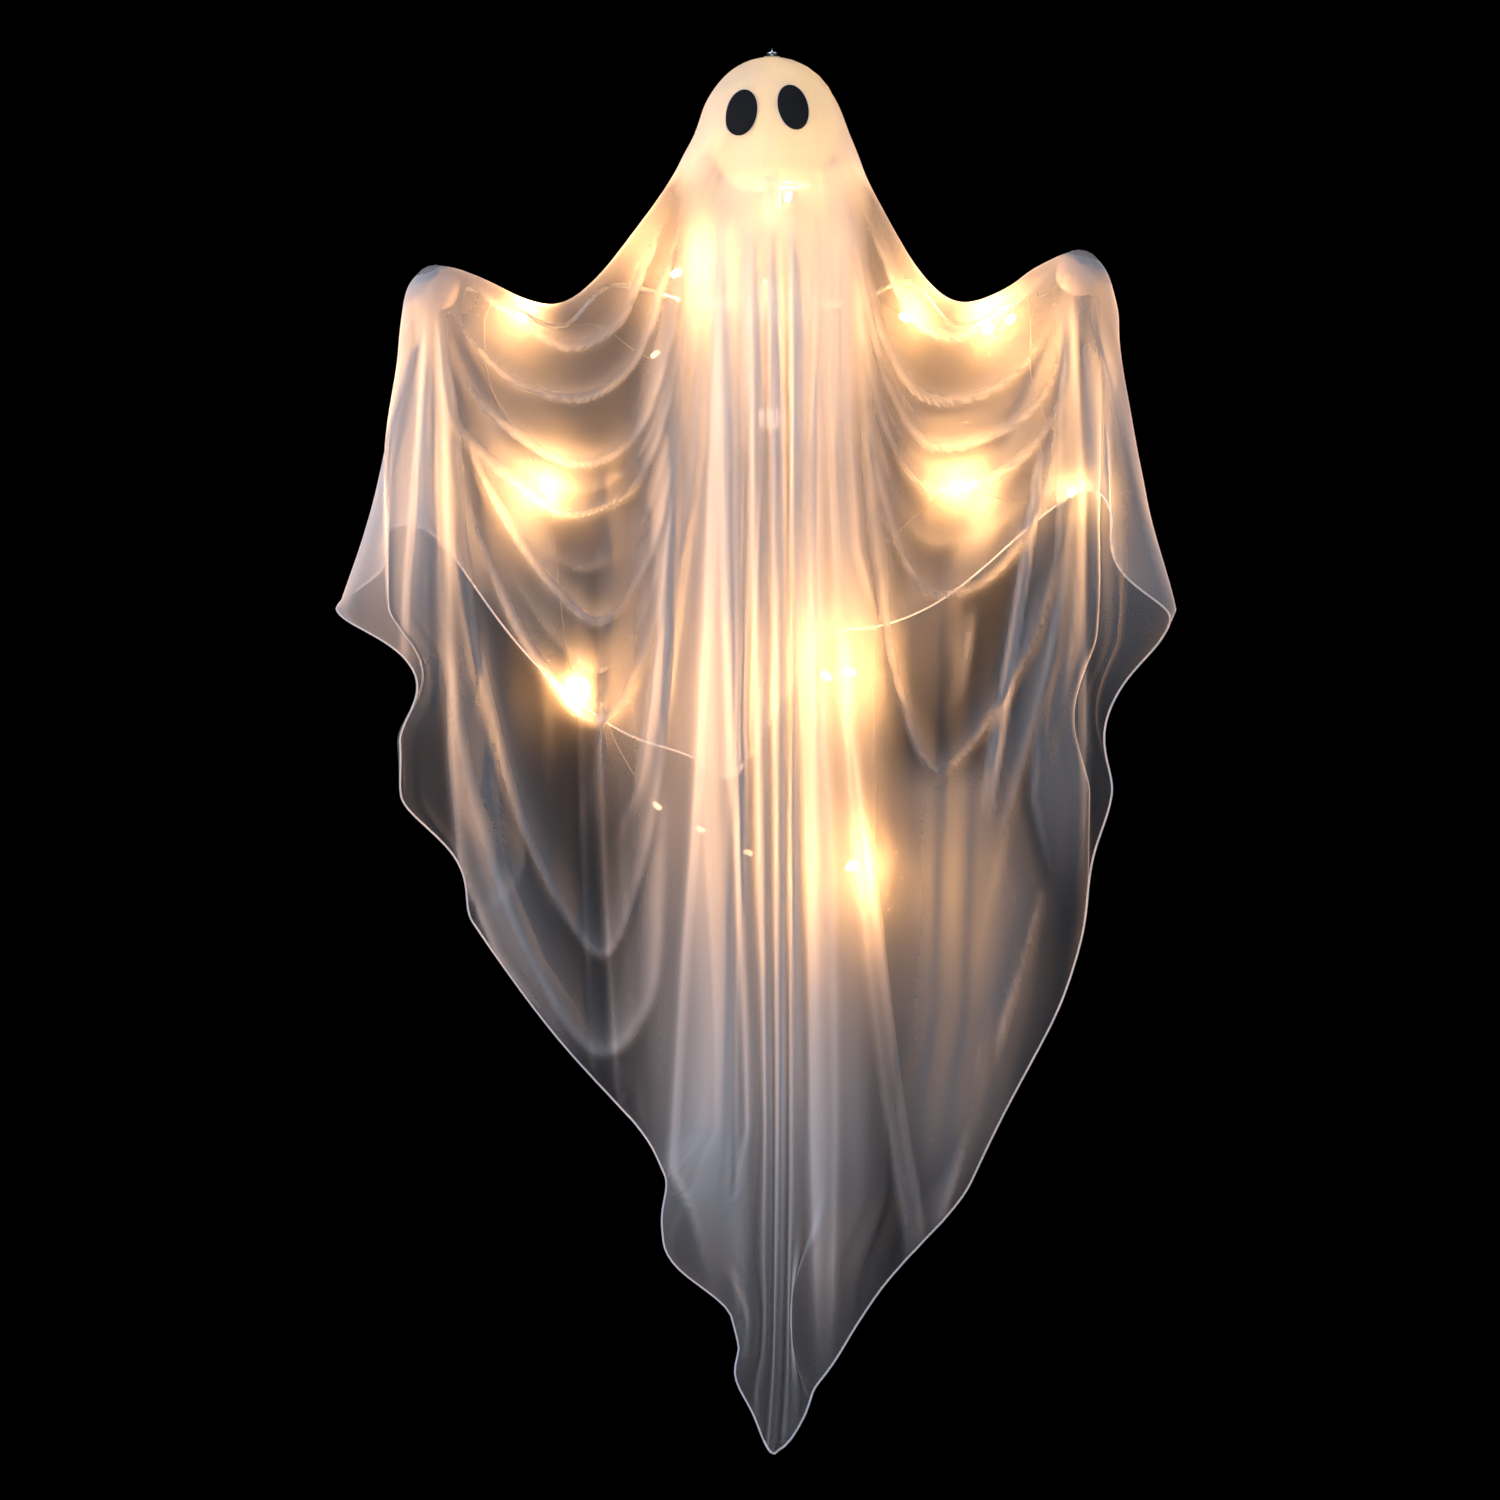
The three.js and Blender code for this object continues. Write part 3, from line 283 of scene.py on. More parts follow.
# most lamps shine fully, some are faint, and the ones in the head are a paler, stronger kind
lampGlow = {
    "lampDrop": ((1.0, 0.47, 0.15), (1.0, 0.51, 0.18), 1700),
    "brightLamp": ((1.0, 0.47, 0.15), (1.0, 0.51, 0.18), 2900),
    "softLamp": ((1.0, 0.5, 0.16), (1.0, 0.54, 0.19), 420),
    "faintLamp": ((1.0, 0.5, 0.2), (1.0, 0.6, 0.3), 1.2),
    "headLamp": ((1.0, 0.78, 0.27), (1.0, 0.84, 0.33), 600),
}


def lampDrop(name):
    low, high, strength = lampGlow[name]
    material, tree, shader = newMaterial(name)
    place = newNode(tree, "ShaderNodeTexCoord").outputs["Object"]
    noise = newNode(tree, "ShaderNodeTexNoise", {"Scale": 400, "Vector": place}).outputs["Fac"]
    glow = newNode(tree, "ShaderNodeMix", {"Factor": noise, "A": (*low, 1), "B": (*high, 1)}, data_type="RGBA")
    feed(tree, shader.inputs, {
        "Base Color": (1.0, 0.85, 0.6, 1), "Roughness": 0.12, "Emission Color": glow.outputs["Result"],
        "Emission Strength": strength})
    return material


finishes = {
    "white_plastic": moulded("whiteMoulded", (0.74, 0.71, 0.66), (0.84, 0.81, 0.76)),
    "steel": moulded("drawnSteel", (0.55, 0.56, 0.58), (0.72, 0.73, 0.75), (0.2, 0.38), 1.0, 1400, 60),
    # the light wire's copper is darkened well below its own colour: painted shade that keeps the lamp-lit wire dim
    "clear_plastic": moulded("wireJacketPaintedShade", (0.22, 0.17, 0.12), (0.36, 0.29, 0.22), (0.12, 0.25), 0.5, 700, 90,
                             coat=0.6),
    "milky_plastic": milkyShell(),
    "lamp": lampDrop("lampDrop"),
    "cell_skin": moulded("cellSleeve", (0.30, 0.32, 0.34), (0.42, 0.44, 0.46), (0.2, 0.35), 0.3, 1200, 40),
    "brass": moulded("brassContact", (0.62, 0.46, 0.2), (0.8, 0.64, 0.33), (0.2, 0.4), 1.0, 1500, 80),
    "dark_plastic": moulded("darkSlider", (0.03, 0.03, 0.033), (0.06, 0.06, 0.066)),
    "board": moulded("greenBoard", (0.03, 0.16, 0.08), (0.08, 0.27, 0.14), (0.25, 0.4), 0.0, 600, 200, coat=0.4),
    # the hand foam is made far darker than white foam: painted shade that keeps the lamp-lit hands dim
    "foam": moulded("handFoamPaintedShade", (0.25, 0.22, 0.21), (0.32, 0.28, 0.27), (0.8, 0.95), 0.0, 500, 60, 0.6, 0.0006),
    "cloth": sheer("voile", 0.075, 0.66, (0.92, 0.9, 0.89), 0.08),
    "felt": moulded("blackFelt", (0.004, 0.004, 0.004), (0.013, 0.013, 0.014), (0.85, 1.0), 0.0, 1800, 150, 0.8,
                    0.0004),
    # the hem's slight bluish tint over the cloth's own white is painted cool light
    "hem": sheer("rolledHem", 0.8, 0.0, (0.95, 0.95, 0.98), 0.1),
    # the battery tube is darkened to amber-brown: painted shade for the darker band down the middle of the column
    "tubeDarkPaintedShade": moulded("tubeDarkPaintedShade", (0.24, 0.17, 0.11), (0.36, 0.26, 0.17), (0.15, 0.3), 0.0, 900, 60,
                          coat=0.3),
    "fibre": moulded("frictionFibre", (0.33, 0.25, 0.17), (0.48, 0.38, 0.27), (0.7, 0.9), 0.0, 1500, 200, 0.5),
    "thread": moulded("paleThread", (0.70, 0.66, 0.60), (0.85, 0.82, 0.76), (0.6, 0.8), 0.0, 2500, 300),
    **{name: lampDrop(name) for name in ("brightLamp", "softLamp", "faintLamp", "headLamp")},
}
# pieces whose finish differs from their slot's
special = {
    "battery_tube": "tubeDarkPaintedShade", "left_friction_washer": "fibre", "right_friction_washer": "fibre",
    "lamp_01": "headLamp", "lamp_02": "headLamp", "lamp_03": "softLamp", "lamp_05": "faintLamp",
    "lamp_07": "brightLamp", "lamp_08": "brightLamp", "lamp_09": "faintLamp", "lamp_10": "faintLamp",
    "lamp_11": "faintLamp", "lamp_12": "brightLamp", "lamp_15": "brightLamp", "lamp_16": "softLamp",
    "lamp_17": "softLamp",
}
slotOf = {row["node"]: row["material_slot"] for row in frame["record"]["subparts"]}
for name, node in frame["nodes"].items():
    finish = finishes[special.get(name, slotOf[name])]
    node.data.materials.clear()
    node.data.materials.append(finish)
print("materials done:", len(finishes))


# light wire: two thin strands twisted together, lamps threaded on straight stretches; the routes are in
# millimetres, and a fourth value marks a lamp
wire = {
    "thickness": 1.0, "strand": 0.27, "spread": 0.235, "twist": 8.0, "lampHalf": 5.5,
    "routes": {
        "light_wire_lead": [
            (0, 13.4, -261.7), (0, 13.8, -262), (-2, 18, -236), (-3, 19, -218), (-3, 18, -196), (-6, 17, -165),
            (-12, 17, -134), (-17, 12, -96, 1), (-10, -14, -62), (16, -14, -64, 1), (17, -15, -92),
            (14, 5, -126, 1), (6, -16, -158), (-12, -21, -186), (-34, -17, -198)],
        "light_wire_left_arm": [
            (-38, -15, -198.6), (-58, -11, -195), (-82, -8, -193, 1), (-97, -7, -222), (-100, -4, -262, 1),
            (-118, 4, -258), (-150, 6, -236), (-190, 7, -238), (-214, 5.5, -229, 1), (-227.85, 4.1, -216.73),
            (-236.15, 4.1, -213.27), (-246, 3, -230), (-247, 6.2, -233)],
        "light_wire_left_drop": [
            (-247, 6.6, -233.4), (-247, 8.2, -250), (-241, 7.6, -290), (-212, 2, -338), (-194.5, 2, -375, 1),
            (-186, 2, -430), (-178, 2, -500), (-166, 2, -549, 1), (-152, 3, -560), (-128, 3, -606),
            (-98.6, 3, -649, 1), (-61.7, 3, -669, 1), (-20.6, 3, -689, 1), (14, 3, -700)],
        "light_wire_right_drop": [
            (14.4, 3, -700.1), (42, 3, -704), (68.6, 3, -700, 1), (84, 3, -664), (88, 3, -600), (84, 3, -548),
            (66.8, 3, -534, 1), (46, 3, -537, 1), (44, 3, -500), (84, 3, -440), (128, 2, -396), (159, 2, -376, 1),
            (208, 2, -388), (258, 2, -380, 1), (262, 4, -350), (236, 7.6, -318), (223, 8.2, -280),
            (222, 8.2, -250), (222, 6.6, -236.4)],
        "light_wire_right_arm": [
            (222, 6.2, -236), (221, 3, -229), (215.72, 4.1, -207.47), (208.28, 4.1, -212.53), (205, 5.3, -231, 1),
            (185, 5.3, -240, 1), (166, 5, -246), (142, 0, -240), (114, -7, -231, 1), (84, -11, -215),
            (56, -15, -204), (40, -18, -199)],
    },
    "lengths": {"light_wire_lead": 0.409, "light_wire_left_arm": 0.298, "light_wire_left_drop": 0.578,
                "light_wire_right_drop": 0.726, "light_wire_right_arm": 0.238},
    "lampsOn": {"light_wire_lead": range(1, 4), "light_wire_left_arm": range(4, 7),
                "light_wire_left_drop": range(7, 12), "light_wire_right_drop": range(12, 17),
                "light_wire_right_arm": range(17, 20)},
    # for each listed run an arm and two places in metres, which nothing reads; a listed run is set in place instead
    # of being attached to the frame
    "bendsWith": {"light_wire_left_arm": ("left_arm", (-0.036, 0, -0.2), (-0.080, 0, -0.2)),
                  "light_wire_right_arm": ("right_arm", (0.038, 0, -0.2), (0.080, 0, -0.2)),
                  "light_wire_left_drop": ("left_arm", (-0.205, 0, -0.345), (-0.247, 0, -0.250)),
                  "light_wire_right_drop": ("right_arm", (0.262, 0, -0.355), (0.222, 0, -0.250))},
}


def wireLine(route):
    pts = withEnds([Vector(p[:3]) / 1000 for p in route])
    stops = []
    for i, stop in enumerate(route):
        here = pts[i + 1]
        if len(stop) < 4:
            stops.append(here)
            continue
        along, _ = spanSlopes(pts[i], here, pts[i + 2], pts[min(i + 3, len(pts) - 1)])
        half = along.normalized() * wire["lampHalf"] / 1000
        stops += [here - half, here - half / 3, here + half / 3, here + half]
    return smoothLine(stops, 0.001)


# a frame that turns as little as it can along the line
def carriedFrames(line):
    tangents = np.gradient(line, axis=0)
    tangents /= np.linalg.norm(tangents, axis=1)[:, None]
    normal = np.cross(tangents[0], (0.3, 0.9, 0.1))
    normals = []
    for tangent in tangents:
        normal = normal - tangent * np.dot(normal, tangent)
        normal /= np.linalg.norm(normal)
        normals.append(normal)
    normals = np.array(normals)
    return normals, np.cross(tangents, normals)


def twistedPair(name, line, sides=6):
    normals, others = carriedFrames(line)
    along = lengthAlong(line)
    turn = 2 * np.pi * along * 1000 / wire["twist"]
    points, faces = [], []
    for strand in (0, np.pi):
        first = len(points)
        middle = line + (np.cos(turn + strand)[:, None] * normals
                         + np.sin(turn + strand)[:, None] * others) * wire["spread"] / 1000
        for k, centre in enumerate(middle):
            for s in range(sides):
                angle = 2 * np.pi * s / sides
                points.append(centre + (np.cos(angle) * normals[k] + np.sin(angle) * others[k])
                              * wire["strand"] / 1000)
        for k in range(len(line) - 1):
            for s in range(sides):
                a, b = first + k * sides + s, first + k * sides + (s + 1) % sides
                faces.append((a, b, b + sides, a + sides))
        faces.append(tuple(first + s for s in reversed(range(sides))))
        faces.append(tuple(first + (len(line) - 1) * sides + s for s in range(sides)))
    return addObject(name, meshFrom(name, points, faces), finishes["clear_plastic"])


for name, route in wire["routes"].items():
    line = wireLine(route)
    piece = twistedPair(name.replace("light_", "twisted_"), line)
    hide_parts(name)
    if name in wire["bendsWith"]:
        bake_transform(piece)
    else:
        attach(piece, "frame")
print("light wire done:", len(wire["routes"]), "runs")


# the cloth: one leaf cut from voile, laid over the head and hands and left to fall
voile = {
    "radius": 0.061, "handOver": 0.0242, "cell": 0.015, "frames": 70,
    "frontTilt": 84, "backTilt": 84, "round": 0.05, "ripple": 0.006,
    "slack": 1.03, "slackFrom": 0.07, "slackTo": 0.41, "flare": 1.12, "fold": 0.02,
    "tackBeyond": 0.004, "handTacks": (-0.014, 0, 0.014), "tackReach": 0.011, "headUnder": 0.0045, "handUnder": 0.004,
    # depth of the cut in front and behind, against the way along the ridge from the middle
    "front": {
        "left": [(0, 1.233), (0.03, 1.16), (0.06, 1.07), (0.10, 0.96), (0.15, 0.87), (0.20, 0.80), (0.24, 0.755),
                 (0.295, 0.69), (0.351, 0.65), (0.413, 0.58), (0.50, 0.42), (0.60, 0.27), (0.68, 0.13), (1, 0)],
        "right": [(0, 1.233), (0.03, 1.19), (0.06, 1.15), (0.10, 1.09), (0.15, 1.03), (0.22, 0.93),
                  (0.276, 0.83), (0.335, 0.765), (0.395, 0.67), (0.50, 0.46), (0.60, 0.29), (0.68, 0.14), (1, 0)],
    },
    "back": {
        "left": [(0, 0.66), (0.06, 0.63), (0.10, 0.575), (0.20, 0.468), (0.24, 0.43), (0.295, 0.36),
                 (0.351, 0.33), (0.413, 0.255), (0.50, 0.18), (0.60, 0.11), (0.68, 0.05), (1, 0)],
        "right": [(0, 0.66), (0.06, 0.53), (0.10, 0.45), (0.15, 0.41), (0.22, 0.34), (0.276, 0.28),
                  (0.335, 0.245), (0.395, 0.24), (0.50, 0.17), (0.60, 0.10), (0.68, 0.05), (1, 0)],
    },
}


# the line over the head, the arm and the hand down to the side corner
def ridgeLine(arm):
    dome = [(voile["radius"] * math.sin(t), head["height"] + voile["radius"] * math.cos(t))
            for t in np.radians(np.arange(0, 63, 6.2))]
    over = [(arm["hand"][0] + voile["handOver"] * math.sin(t), arm["hand"][1] + voile["handOver"] * math.cos(t))
            for t in np.radians(np.arange(-28, 75, 8))]
    pts = np.array(dome + [arm["shoulder"], arm["elbow"], arm["forearm"]] + over + [arm["corner"]])
    along = lengthAlong(pts)
    even = np.arange(0, along[-1], 0.004)
    line = np.stack([np.interp(even, along, pts[:, k]) for k in (0, 1)], axis=1)
    for _ in range(6):
        line[1:-1] = (line[:-2] + 2 * line[1:-1] + line[2:]) / 4
    return lengthAlong(line), line


ridges = {side: ridgeLine(arm) for side, arm in arms.items()}


# the way along the ridge to the top of the hand
def handTop(side):
    along, line = ridges[side]
    x, z = arms[side]["hand"]
    return along[np.argmin(np.hypot(line[:, 0] - x - voile["tackBeyond"], line[:, 1] - z - voile["handOver"]))]


# the cloth is cut a little wider than the way along the ridge
def cutWidth(way):
    more = voile["slack"] - 1
    return way + more * np.clip(way - voile["slackFrom"], 0, voile["slackTo"] - voile["slackFrom"])


def wayOf(width):
    low, high = voile["slackFrom"], voile["slackFrom"] + (voile["slackTo"] - voile["slackFrom"]) * voile["slack"]
    if width < low:
        return width
    if width < high:
        return low + (width - low) / voile["slack"]
    return voile["slackTo"] + width - high


# beyond the hands the two leaves are cut on the slant and joined along the ridge: place in the flat cut
def cutPlaces(flat):
    side = flat[:, 0] > 0
    places = np.zeros((len(flat), 2))
    for name, arm in arms.items():
        along, line = ridges[name]
        mine = side == (arm["sign"] > 0)
        top = handTop(name)
        slant = (line[-1, 0] - arm["hand"][0]) / (along[-1] - top)
        beyond = np.maximum(np.abs(flat[mine, 0]) - cutWidth(top), 0)
        places[mine, 0] = flat[mine, 0] - arm["sign"] * (1 - slant) * beyond
        places[mine, 1] = np.abs(flat[mine, 1]) + math.sqrt(1 - slant ** 2) * beyond
    return places


def cutDepth(side, part, way):
    steps = voile[part][side]
    reach = ridges[side][0][-1]
    return float(np.interp(way, [min(s[0], reach) for s in steps], [s[1] for s in steps]))


# a grid of square cells, cut at the hem, with fans of triangles where a column is longer than the next
def cutPattern():
    columns = []
    for side, arm in arms.items():
        reach = cutWidth(ridges[side][0][-1])
        count = int(round(reach / voile["cell"]))
        for i in range(0 if side == "right" else 1, count + 1):
            columns.append((arm["sign"] * reach * (i / count if i < count else 0.995), side))
    columns.sort()
    flat, index, rows, faces = [], {}, [], []
    for c, (across, side) in enumerate(columns):
        depths = [cutDepth(side, part, wayOf(abs(across))) for part in ("back", "front")]
        back, front = (max(1, int(round(d / voile["cell"]))) for d in depths)
        rows.append((back, front))
        for j in range(-back, front + 1):
            index[c, j] = len(flat)
            down = depths[1] if j == front else -depths[0] if j == -back else j * voile["cell"]
            flat.append((across, down))
    for c in range(len(columns) - 1):
        (b0, f0), (b1, f1) = rows[c], rows[c + 1]
        low, high = -min(b0, b1), min(f0, f1)
        for j in range(low, high):
            faces.append((index[c, j], index[c + 1, j], index[c + 1, j + 1], index[c, j + 1]))
        faces += [(index[c, j], index[c + 1, high], index[c, j + 1]) for j in range(high, f0)]
        faces += [(index[c, high], index[c + 1, j], index[c + 1, j + 1]) for j in range(high, f1)]
        faces += [(index[c, j], index[c, j - 1], index[c + 1, low]) for j in range(low, -b0, -1)]
        faces += [(index[c, low], index[c + 1, j - 1], index[c + 1, j]) for j in range(low, -b1, -1)]
    return np.array(flat), faces


# where the cloth is let go: over the ridge, then nearly straight down on both sides
def laidOver(flat):
    places = np.zeros((len(flat), 3))
    for k, (across, down) in enumerate(flat):
        side = "left" if across < 0 else "right"
        along, line = ridges[side]
        way = wayOf(abs(across))
        x, z = np.interp(way, along, line[:, 0]), np.interp(way, along, line[:, 1])
        tilt = math.radians(voile["frontTilt"] if down > 0 else voile["backTilt"])
        bend = min(abs(down) / voile["round"], tilt)
        rest = abs(down) - bend * voile["round"]
        y = voile["round"] * math.sin(bend) + rest * math.cos(tilt)
        drop = voile["round"] * (1 - math.cos(bend)) + rest * math.sin(tilt)
        y += min(1, abs(down) / 0.08) * voile["ripple"] * math.sin(90 * across + 1.7 * math.sin(across * 9))
        places[k] = (arms[side]["sign"] * x, -y if down > 0 else y, z - drop)
    return places


def tackPlaces():
    tacks = [0.0]
    for side, arm in arms.items():
        along, line = ridges[side]
        tacks += [arm["sign"] * (cutWidth(handTop(side)) + off) for off in voile["handTacks"]]
        tacks.append(arm["sign"] * cutWidth(float(np.interp(arm["elbow"][0], line[:, 0], along))))
    return tacks


skinOfBalls = {"thickness_outer": 0.002, "thickness_inner": 0.02, "cloth_friction": 20}
# light, limp cloth in air that slows it down
fall = {
    "quality": 4, "mass": 0.05, "air_damping": 2, "tension_stiffness": 15, "compression_stiffness": 15,
    "shear_stiffness": 5, "bending_stiffness": 0.02, "tension_damping": 5, "compression_damping": 5,
    "shear_damping": 5, "bending_damping": 0.5, "vertex_group_mass": "tacks",
}


def addBall(x, z, radius):
    bpy.ops.mesh.primitive_uv_sphere_add(segments=48, ring_count=32, radius=radius, location=(x, 0, z))
    ball = bpy.context.object
    ball.modifiers.new("Collision", "COLLISION")
    for key, value in skinOfBalls.items():
        setattr(ball.collision, key, value)
    return ball


def letFall(cloth, flat):
    lying = cutPlaces(flat)
    lying[:, 0] *= 1 + (voile["flare"] - 1) * np.clip((np.abs(flat[:, 1]) - 0.10) / 0.5, 0, 1)
    cloth.shape_key_add(name="Basis")
    cut = cloth.shape_key_add(name="cut")
    fold = -voile["fold"] * np.sign(flat[:, 1])
    cut.data.foreach_set("co", np.stack([lying[:, 0], fold, -lying[:, 1]], axis=1).ravel())
    cut.value = 0
    pins = cloth.vertex_groups.new(name="tacks")
    for place in tackPlaces():
        near = np.flatnonzero(np.hypot(flat[:, 0] - place, flat[:, 1]) < voile["tackReach"])
        pins.add([int(k) for k in near], 1.0, "REPLACE")
    balls = [addBall(0, head["height"], voile["radius"] - voile["headUnder"])]
    balls += [addBall(arm["sign"] * arm["hand"][0], arm["hand"][1], voile["handOver"] - voile["handUnder"])
              for arm in arms.values()]
    modifier = cloth.modifiers.new("Cloth", "CLOTH")
    modifier.settings.rest_shape_key = cut
    for key, value in fall.items():
        setattr(modifier.settings, key, value)
    modifier.collision_settings.distance_min = 0.003
    modifier.collision_settings.use_self_collision = False
    modifier.point_cache.frame_start, modifier.point_cache.frame_end = 1, voile["frames"]
    for step in range(1, voile["frames"] + 1):
        scene.frame_set(step)
    evaluated = cloth.evaluated_get(bpy.context.evaluated_depsgraph_get())
    fallen = np.empty(len(flat) * 3)
    evaluated.data.vertices.foreach_get("co", fallen)
    for ball in balls:
        bpy.data.objects.remove(ball)
    scene.frame_set(1)
    return fallen.reshape(-1, 3)


flat, cutFaces = cutPattern()
places = laidOver(flat)
cloth = addObject("fallingCloth", meshFrom("fallingCloth", places, cutFaces))
places = letFall(cloth, flat)
bpy.data.objects.remove(cloth)
print("cloth fallen:", len(flat), "points", np.round(places.min(0), 3), np.round(places.max(0), 3))


# the fallen grid made four times finer each way, with the cut's own measure as its UV map
def refined(points, faces, levels):
    mesh = meshFrom("clothGrid", points, faces)
    uv = mesh.uv_layers.new(name="cut")
    corner = np.empty(len(mesh.loops), int)
    mesh.loops.foreach_get("vertex_index", corner)
    uv.data.foreach_set("uv", flat[corner].ravel())
    obj = addObject("clothGrid", mesh)
    finer = obj.modifiers.new("Subdivision", "SUBSURF")
    finer.levels = finer.render_levels = levels
    finer.uv_smooth = "PRESERVE_BOUNDARIES"
    fine = bpy.data.meshes.new_from_object(obj.evaluated_get(bpy.context.evaluated_depsgraph_get()))
    bpy.data.objects.remove(obj)
    return fine


# the side corners stand out from the hands, the dome lies close on the head, the point hangs in the middle
shape = {
    "cornerOut": {"left": 0.058, "right": 0.036}, "cornerFrom": 0.42, "domeRadius": 0.0614,
    "tip": 0.0017, "tipHeight": -1.18, "tipEnd": -1.193, "tipReach": 0.06, "tipBack": 0.012,
    "calming": 8, "headCarries": 0.085, "handCarries": 0.055,
}


def settled(places, flat):
    places = places.copy()
    for side, arm in arms.items():
        mine = flat[:, 0] * arm["sign"] > 0
        way = np.array([wayOf(abs(a)) for a in flat[:, 0]])
        out = np.clip((way - shape["cornerFrom"]) / (ridges[side][0][-1] - shape["cornerFrom"]), 0, 1)
        places[:, 0] += mine * arm["sign"] * shape["cornerOut"][side] * out
    tip = places[np.argmin(places[:, 2])]
    places[:, 0] -= (tip[0] - shape["tip"]) * smoothStep(-places[:, 2], 0.55, 1.2)
    places[:, 2] += (shape["tipHeight"] - tip[2]) * smoothStep(-places[:, 2], 0.5, 1.17)
    places[:, 1] += shape["tipBack"] * smoothStep(-places[:, 2], 0.3, 1.25) * (flat[:, 1] > 0)
    centre = np.array([0, 0, head["height"]])
    away = places - centre
    far = np.linalg.norm(away, axis=1)
    close = (1 - smoothStep(far, 0.063, 0.069)) * smoothStep(places[:, 2] - head["height"], -0.045, -0.01)
    close *= smoothStep(np.abs(places[:, 1]), 0.008, 0.025)
    return centre + away * (1 + close * (shape["domeRadius"] / far - 1))[:, None]


# takes the cell-sized crumple out of the fallen grid
def calmed(places, faces, rounds):
    pairs = np.array([(f[k], f[k - 1]) for f in faces for k in range(len(f))])
    both = np.concatenate([pairs, pairs[:, ::-1]])
    known = {tuple(e) for e in pairs.tolist()}
    rimPairs = np.array([(a, b) for a, b in known if (b, a) not in known])
    rimPairs = np.concatenate([rimPairs, rimPairs[:, ::-1]])
    edge = np.unique(rimPairs)

    def meanOver(pairs, places):
        total, number = np.zeros_like(places), np.full(len(places), 1e-9)
        np.add.at(total, pairs[:, 0], places[pairs[:, 1]])
        np.add.at(number, pairs[:, 0], 1)
        return total / number[:, None]

    # over the head and the hands the cloth keeps to what carries it
    carried = np.linalg.norm(places - (0, 0, head["height"]), axis=1) < shape["headCarries"]
    for arm in arms.values():
        hand = (arm["sign"] * arm["hand"][0], 0, arm["hand"][1])
        carried |= np.linalg.norm(places - hand, axis=1) < shape["handCarries"]
    for step in range(rounds):
        mean = meanOver(rimPairs, places)
        places[edge] += 0.5 * (mean[edge] - places[edge])
        mean = meanOver(both, places)
        mean[edge] = places[edge]
        if step > 1:
            mean[carried] = places[carried]
        places = places + 0.5 * (mean - places)
    return places


places = settled(calmed(places, cutFaces, shape["calming"]), flat)
fine = refined(places, cutFaces, 2)
count = len(fine.vertices)
spot = np.empty(count * 3)
fine.vertices.foreach_get("co", spot)
spot = spot.reshape(-1, 3)
corner = np.empty(len(fine.loops), int)
fine.loops.foreach_get("vertex_index", corner)
cornerUv = np.empty(len(fine.loops) * 2)
fine.uv_layers["cut"].data.foreach_get("uv", cornerUv)
measure = np.zeros((count, 2))
measure[corner] = cornerUv.reshape(-1, 2)
print("cloth refined:", count, "points,", len(fine.polygons), "faces")


# the folds that show, drawn as lines across the front: height and width in millimetres, then the points that the
# line follows in centimetres
folds = {
    "left": [
        (9, 5, [(-27.5, -18.5), (-22.5, -23), (-17.5, -26), (-13.5, -24.5), (-10.5, -19), (-8, -12)]),
        (10, 5, [(-28.3, -20.5), (-25, -26), (-21, -29.3), (-15.5, -30.2), (-11.5, -27), (-9, -20.5), (-7, -12)]),
        (11, 6, [(-28.8, -22), (-25.8, -29.3), (-21.5, -33.6), (-16.5, -36), (-12, -34), (-9, -27.5), (-7.2, -18),
                 (-6, -11)]),
        (12, 6, [(-29.2, -24), (-27, -32), (-22.5, -37), (-17.5, -40), (-12.5, -38.5), (-9.2, -32.5), (-7.5, -24),
                 (-6.3, -14)]),
        (12, 7, [(-28.5, -26), (-24.5, -37), (-18.5, -46.4), (-14.5, -49.2), (-11, -45), (-8.6, -37), (-7.6, -27),
                 (-6.6, -17)]),
        (12, 7, [(-28.5, -30), (-25, -42), (-20, -52.5), (-14.7, -57.6), (-11, -52.5), (-8.9, -44), (-8, -33),
                 (-7.2, -22)]),
        (12, 8, [(-29.3, -24), (-27.5, -38.7), (-24.3, -55.8), (-20, -69.5), (-14.5, -77.5), (-11, -69.5),
                 (-9.2, -58), (-8.6, -42), (-8, -28)]),
        (10, 11, [(-29.7, -23), (-28.5, -43), (-26, -62.5), (-20.8, -77.5), (-14.7, -86), (-10.8, -82),
                  (-9.5, -68.5), (-9.2, -50)]),
    ],
    "right": [
        (9, 5, [(25, -18), (19.5, -23), (15.3, -25.2), (12, -23.6), (9.4, -18.5), (7, -12)]),
        (10, 5, [(25.1, -20.7), (22, -26.7), (17.8, -30), (12.9, -30.3), (9.6, -26), (7.8, -19), (6.4, -12)]),
        (11, 6, [(25.5, -22.4), (23, -30), (18.7, -33.5), (13.5, -34.4), (9.9, -29.5), (7.9, -22), (6.6, -13)]),
        (12, 6, [(26, -24), (23.4, -32.7), (18.7, -37), (13.1, -37.8), (9.6, -33), (7.9, -26), (6.8, -16)]),
        (12, 7, [(26, -26), (23, -38.7), (18.3, -45.5), (13.5, -46.8), (10, -41), (8.2, -33), (7.2, -22)]),
        (12, 7, [(26.4, -30), (23.8, -45.5), (19.5, -55.8), (14, -61.8), (10.8, -55), (9, -45), (8, -34),
                 (7.4, -24)]),
        (9, 6, [(26.6, -30), (25.6, -51.5), (23, -64.4)]),
        (10, 10, [(26.4, -26), (24.7, -47.2), (21, -62), (18, -73), (16.5, -82)]),
        (8, 7, [(23.8, -70), (21.5, -78), (19.5, -84.5), (18.8, -90)]),
        (7, 9, [(18.5, -80), (16.8, -92), (13, -104)]),
    ],
}
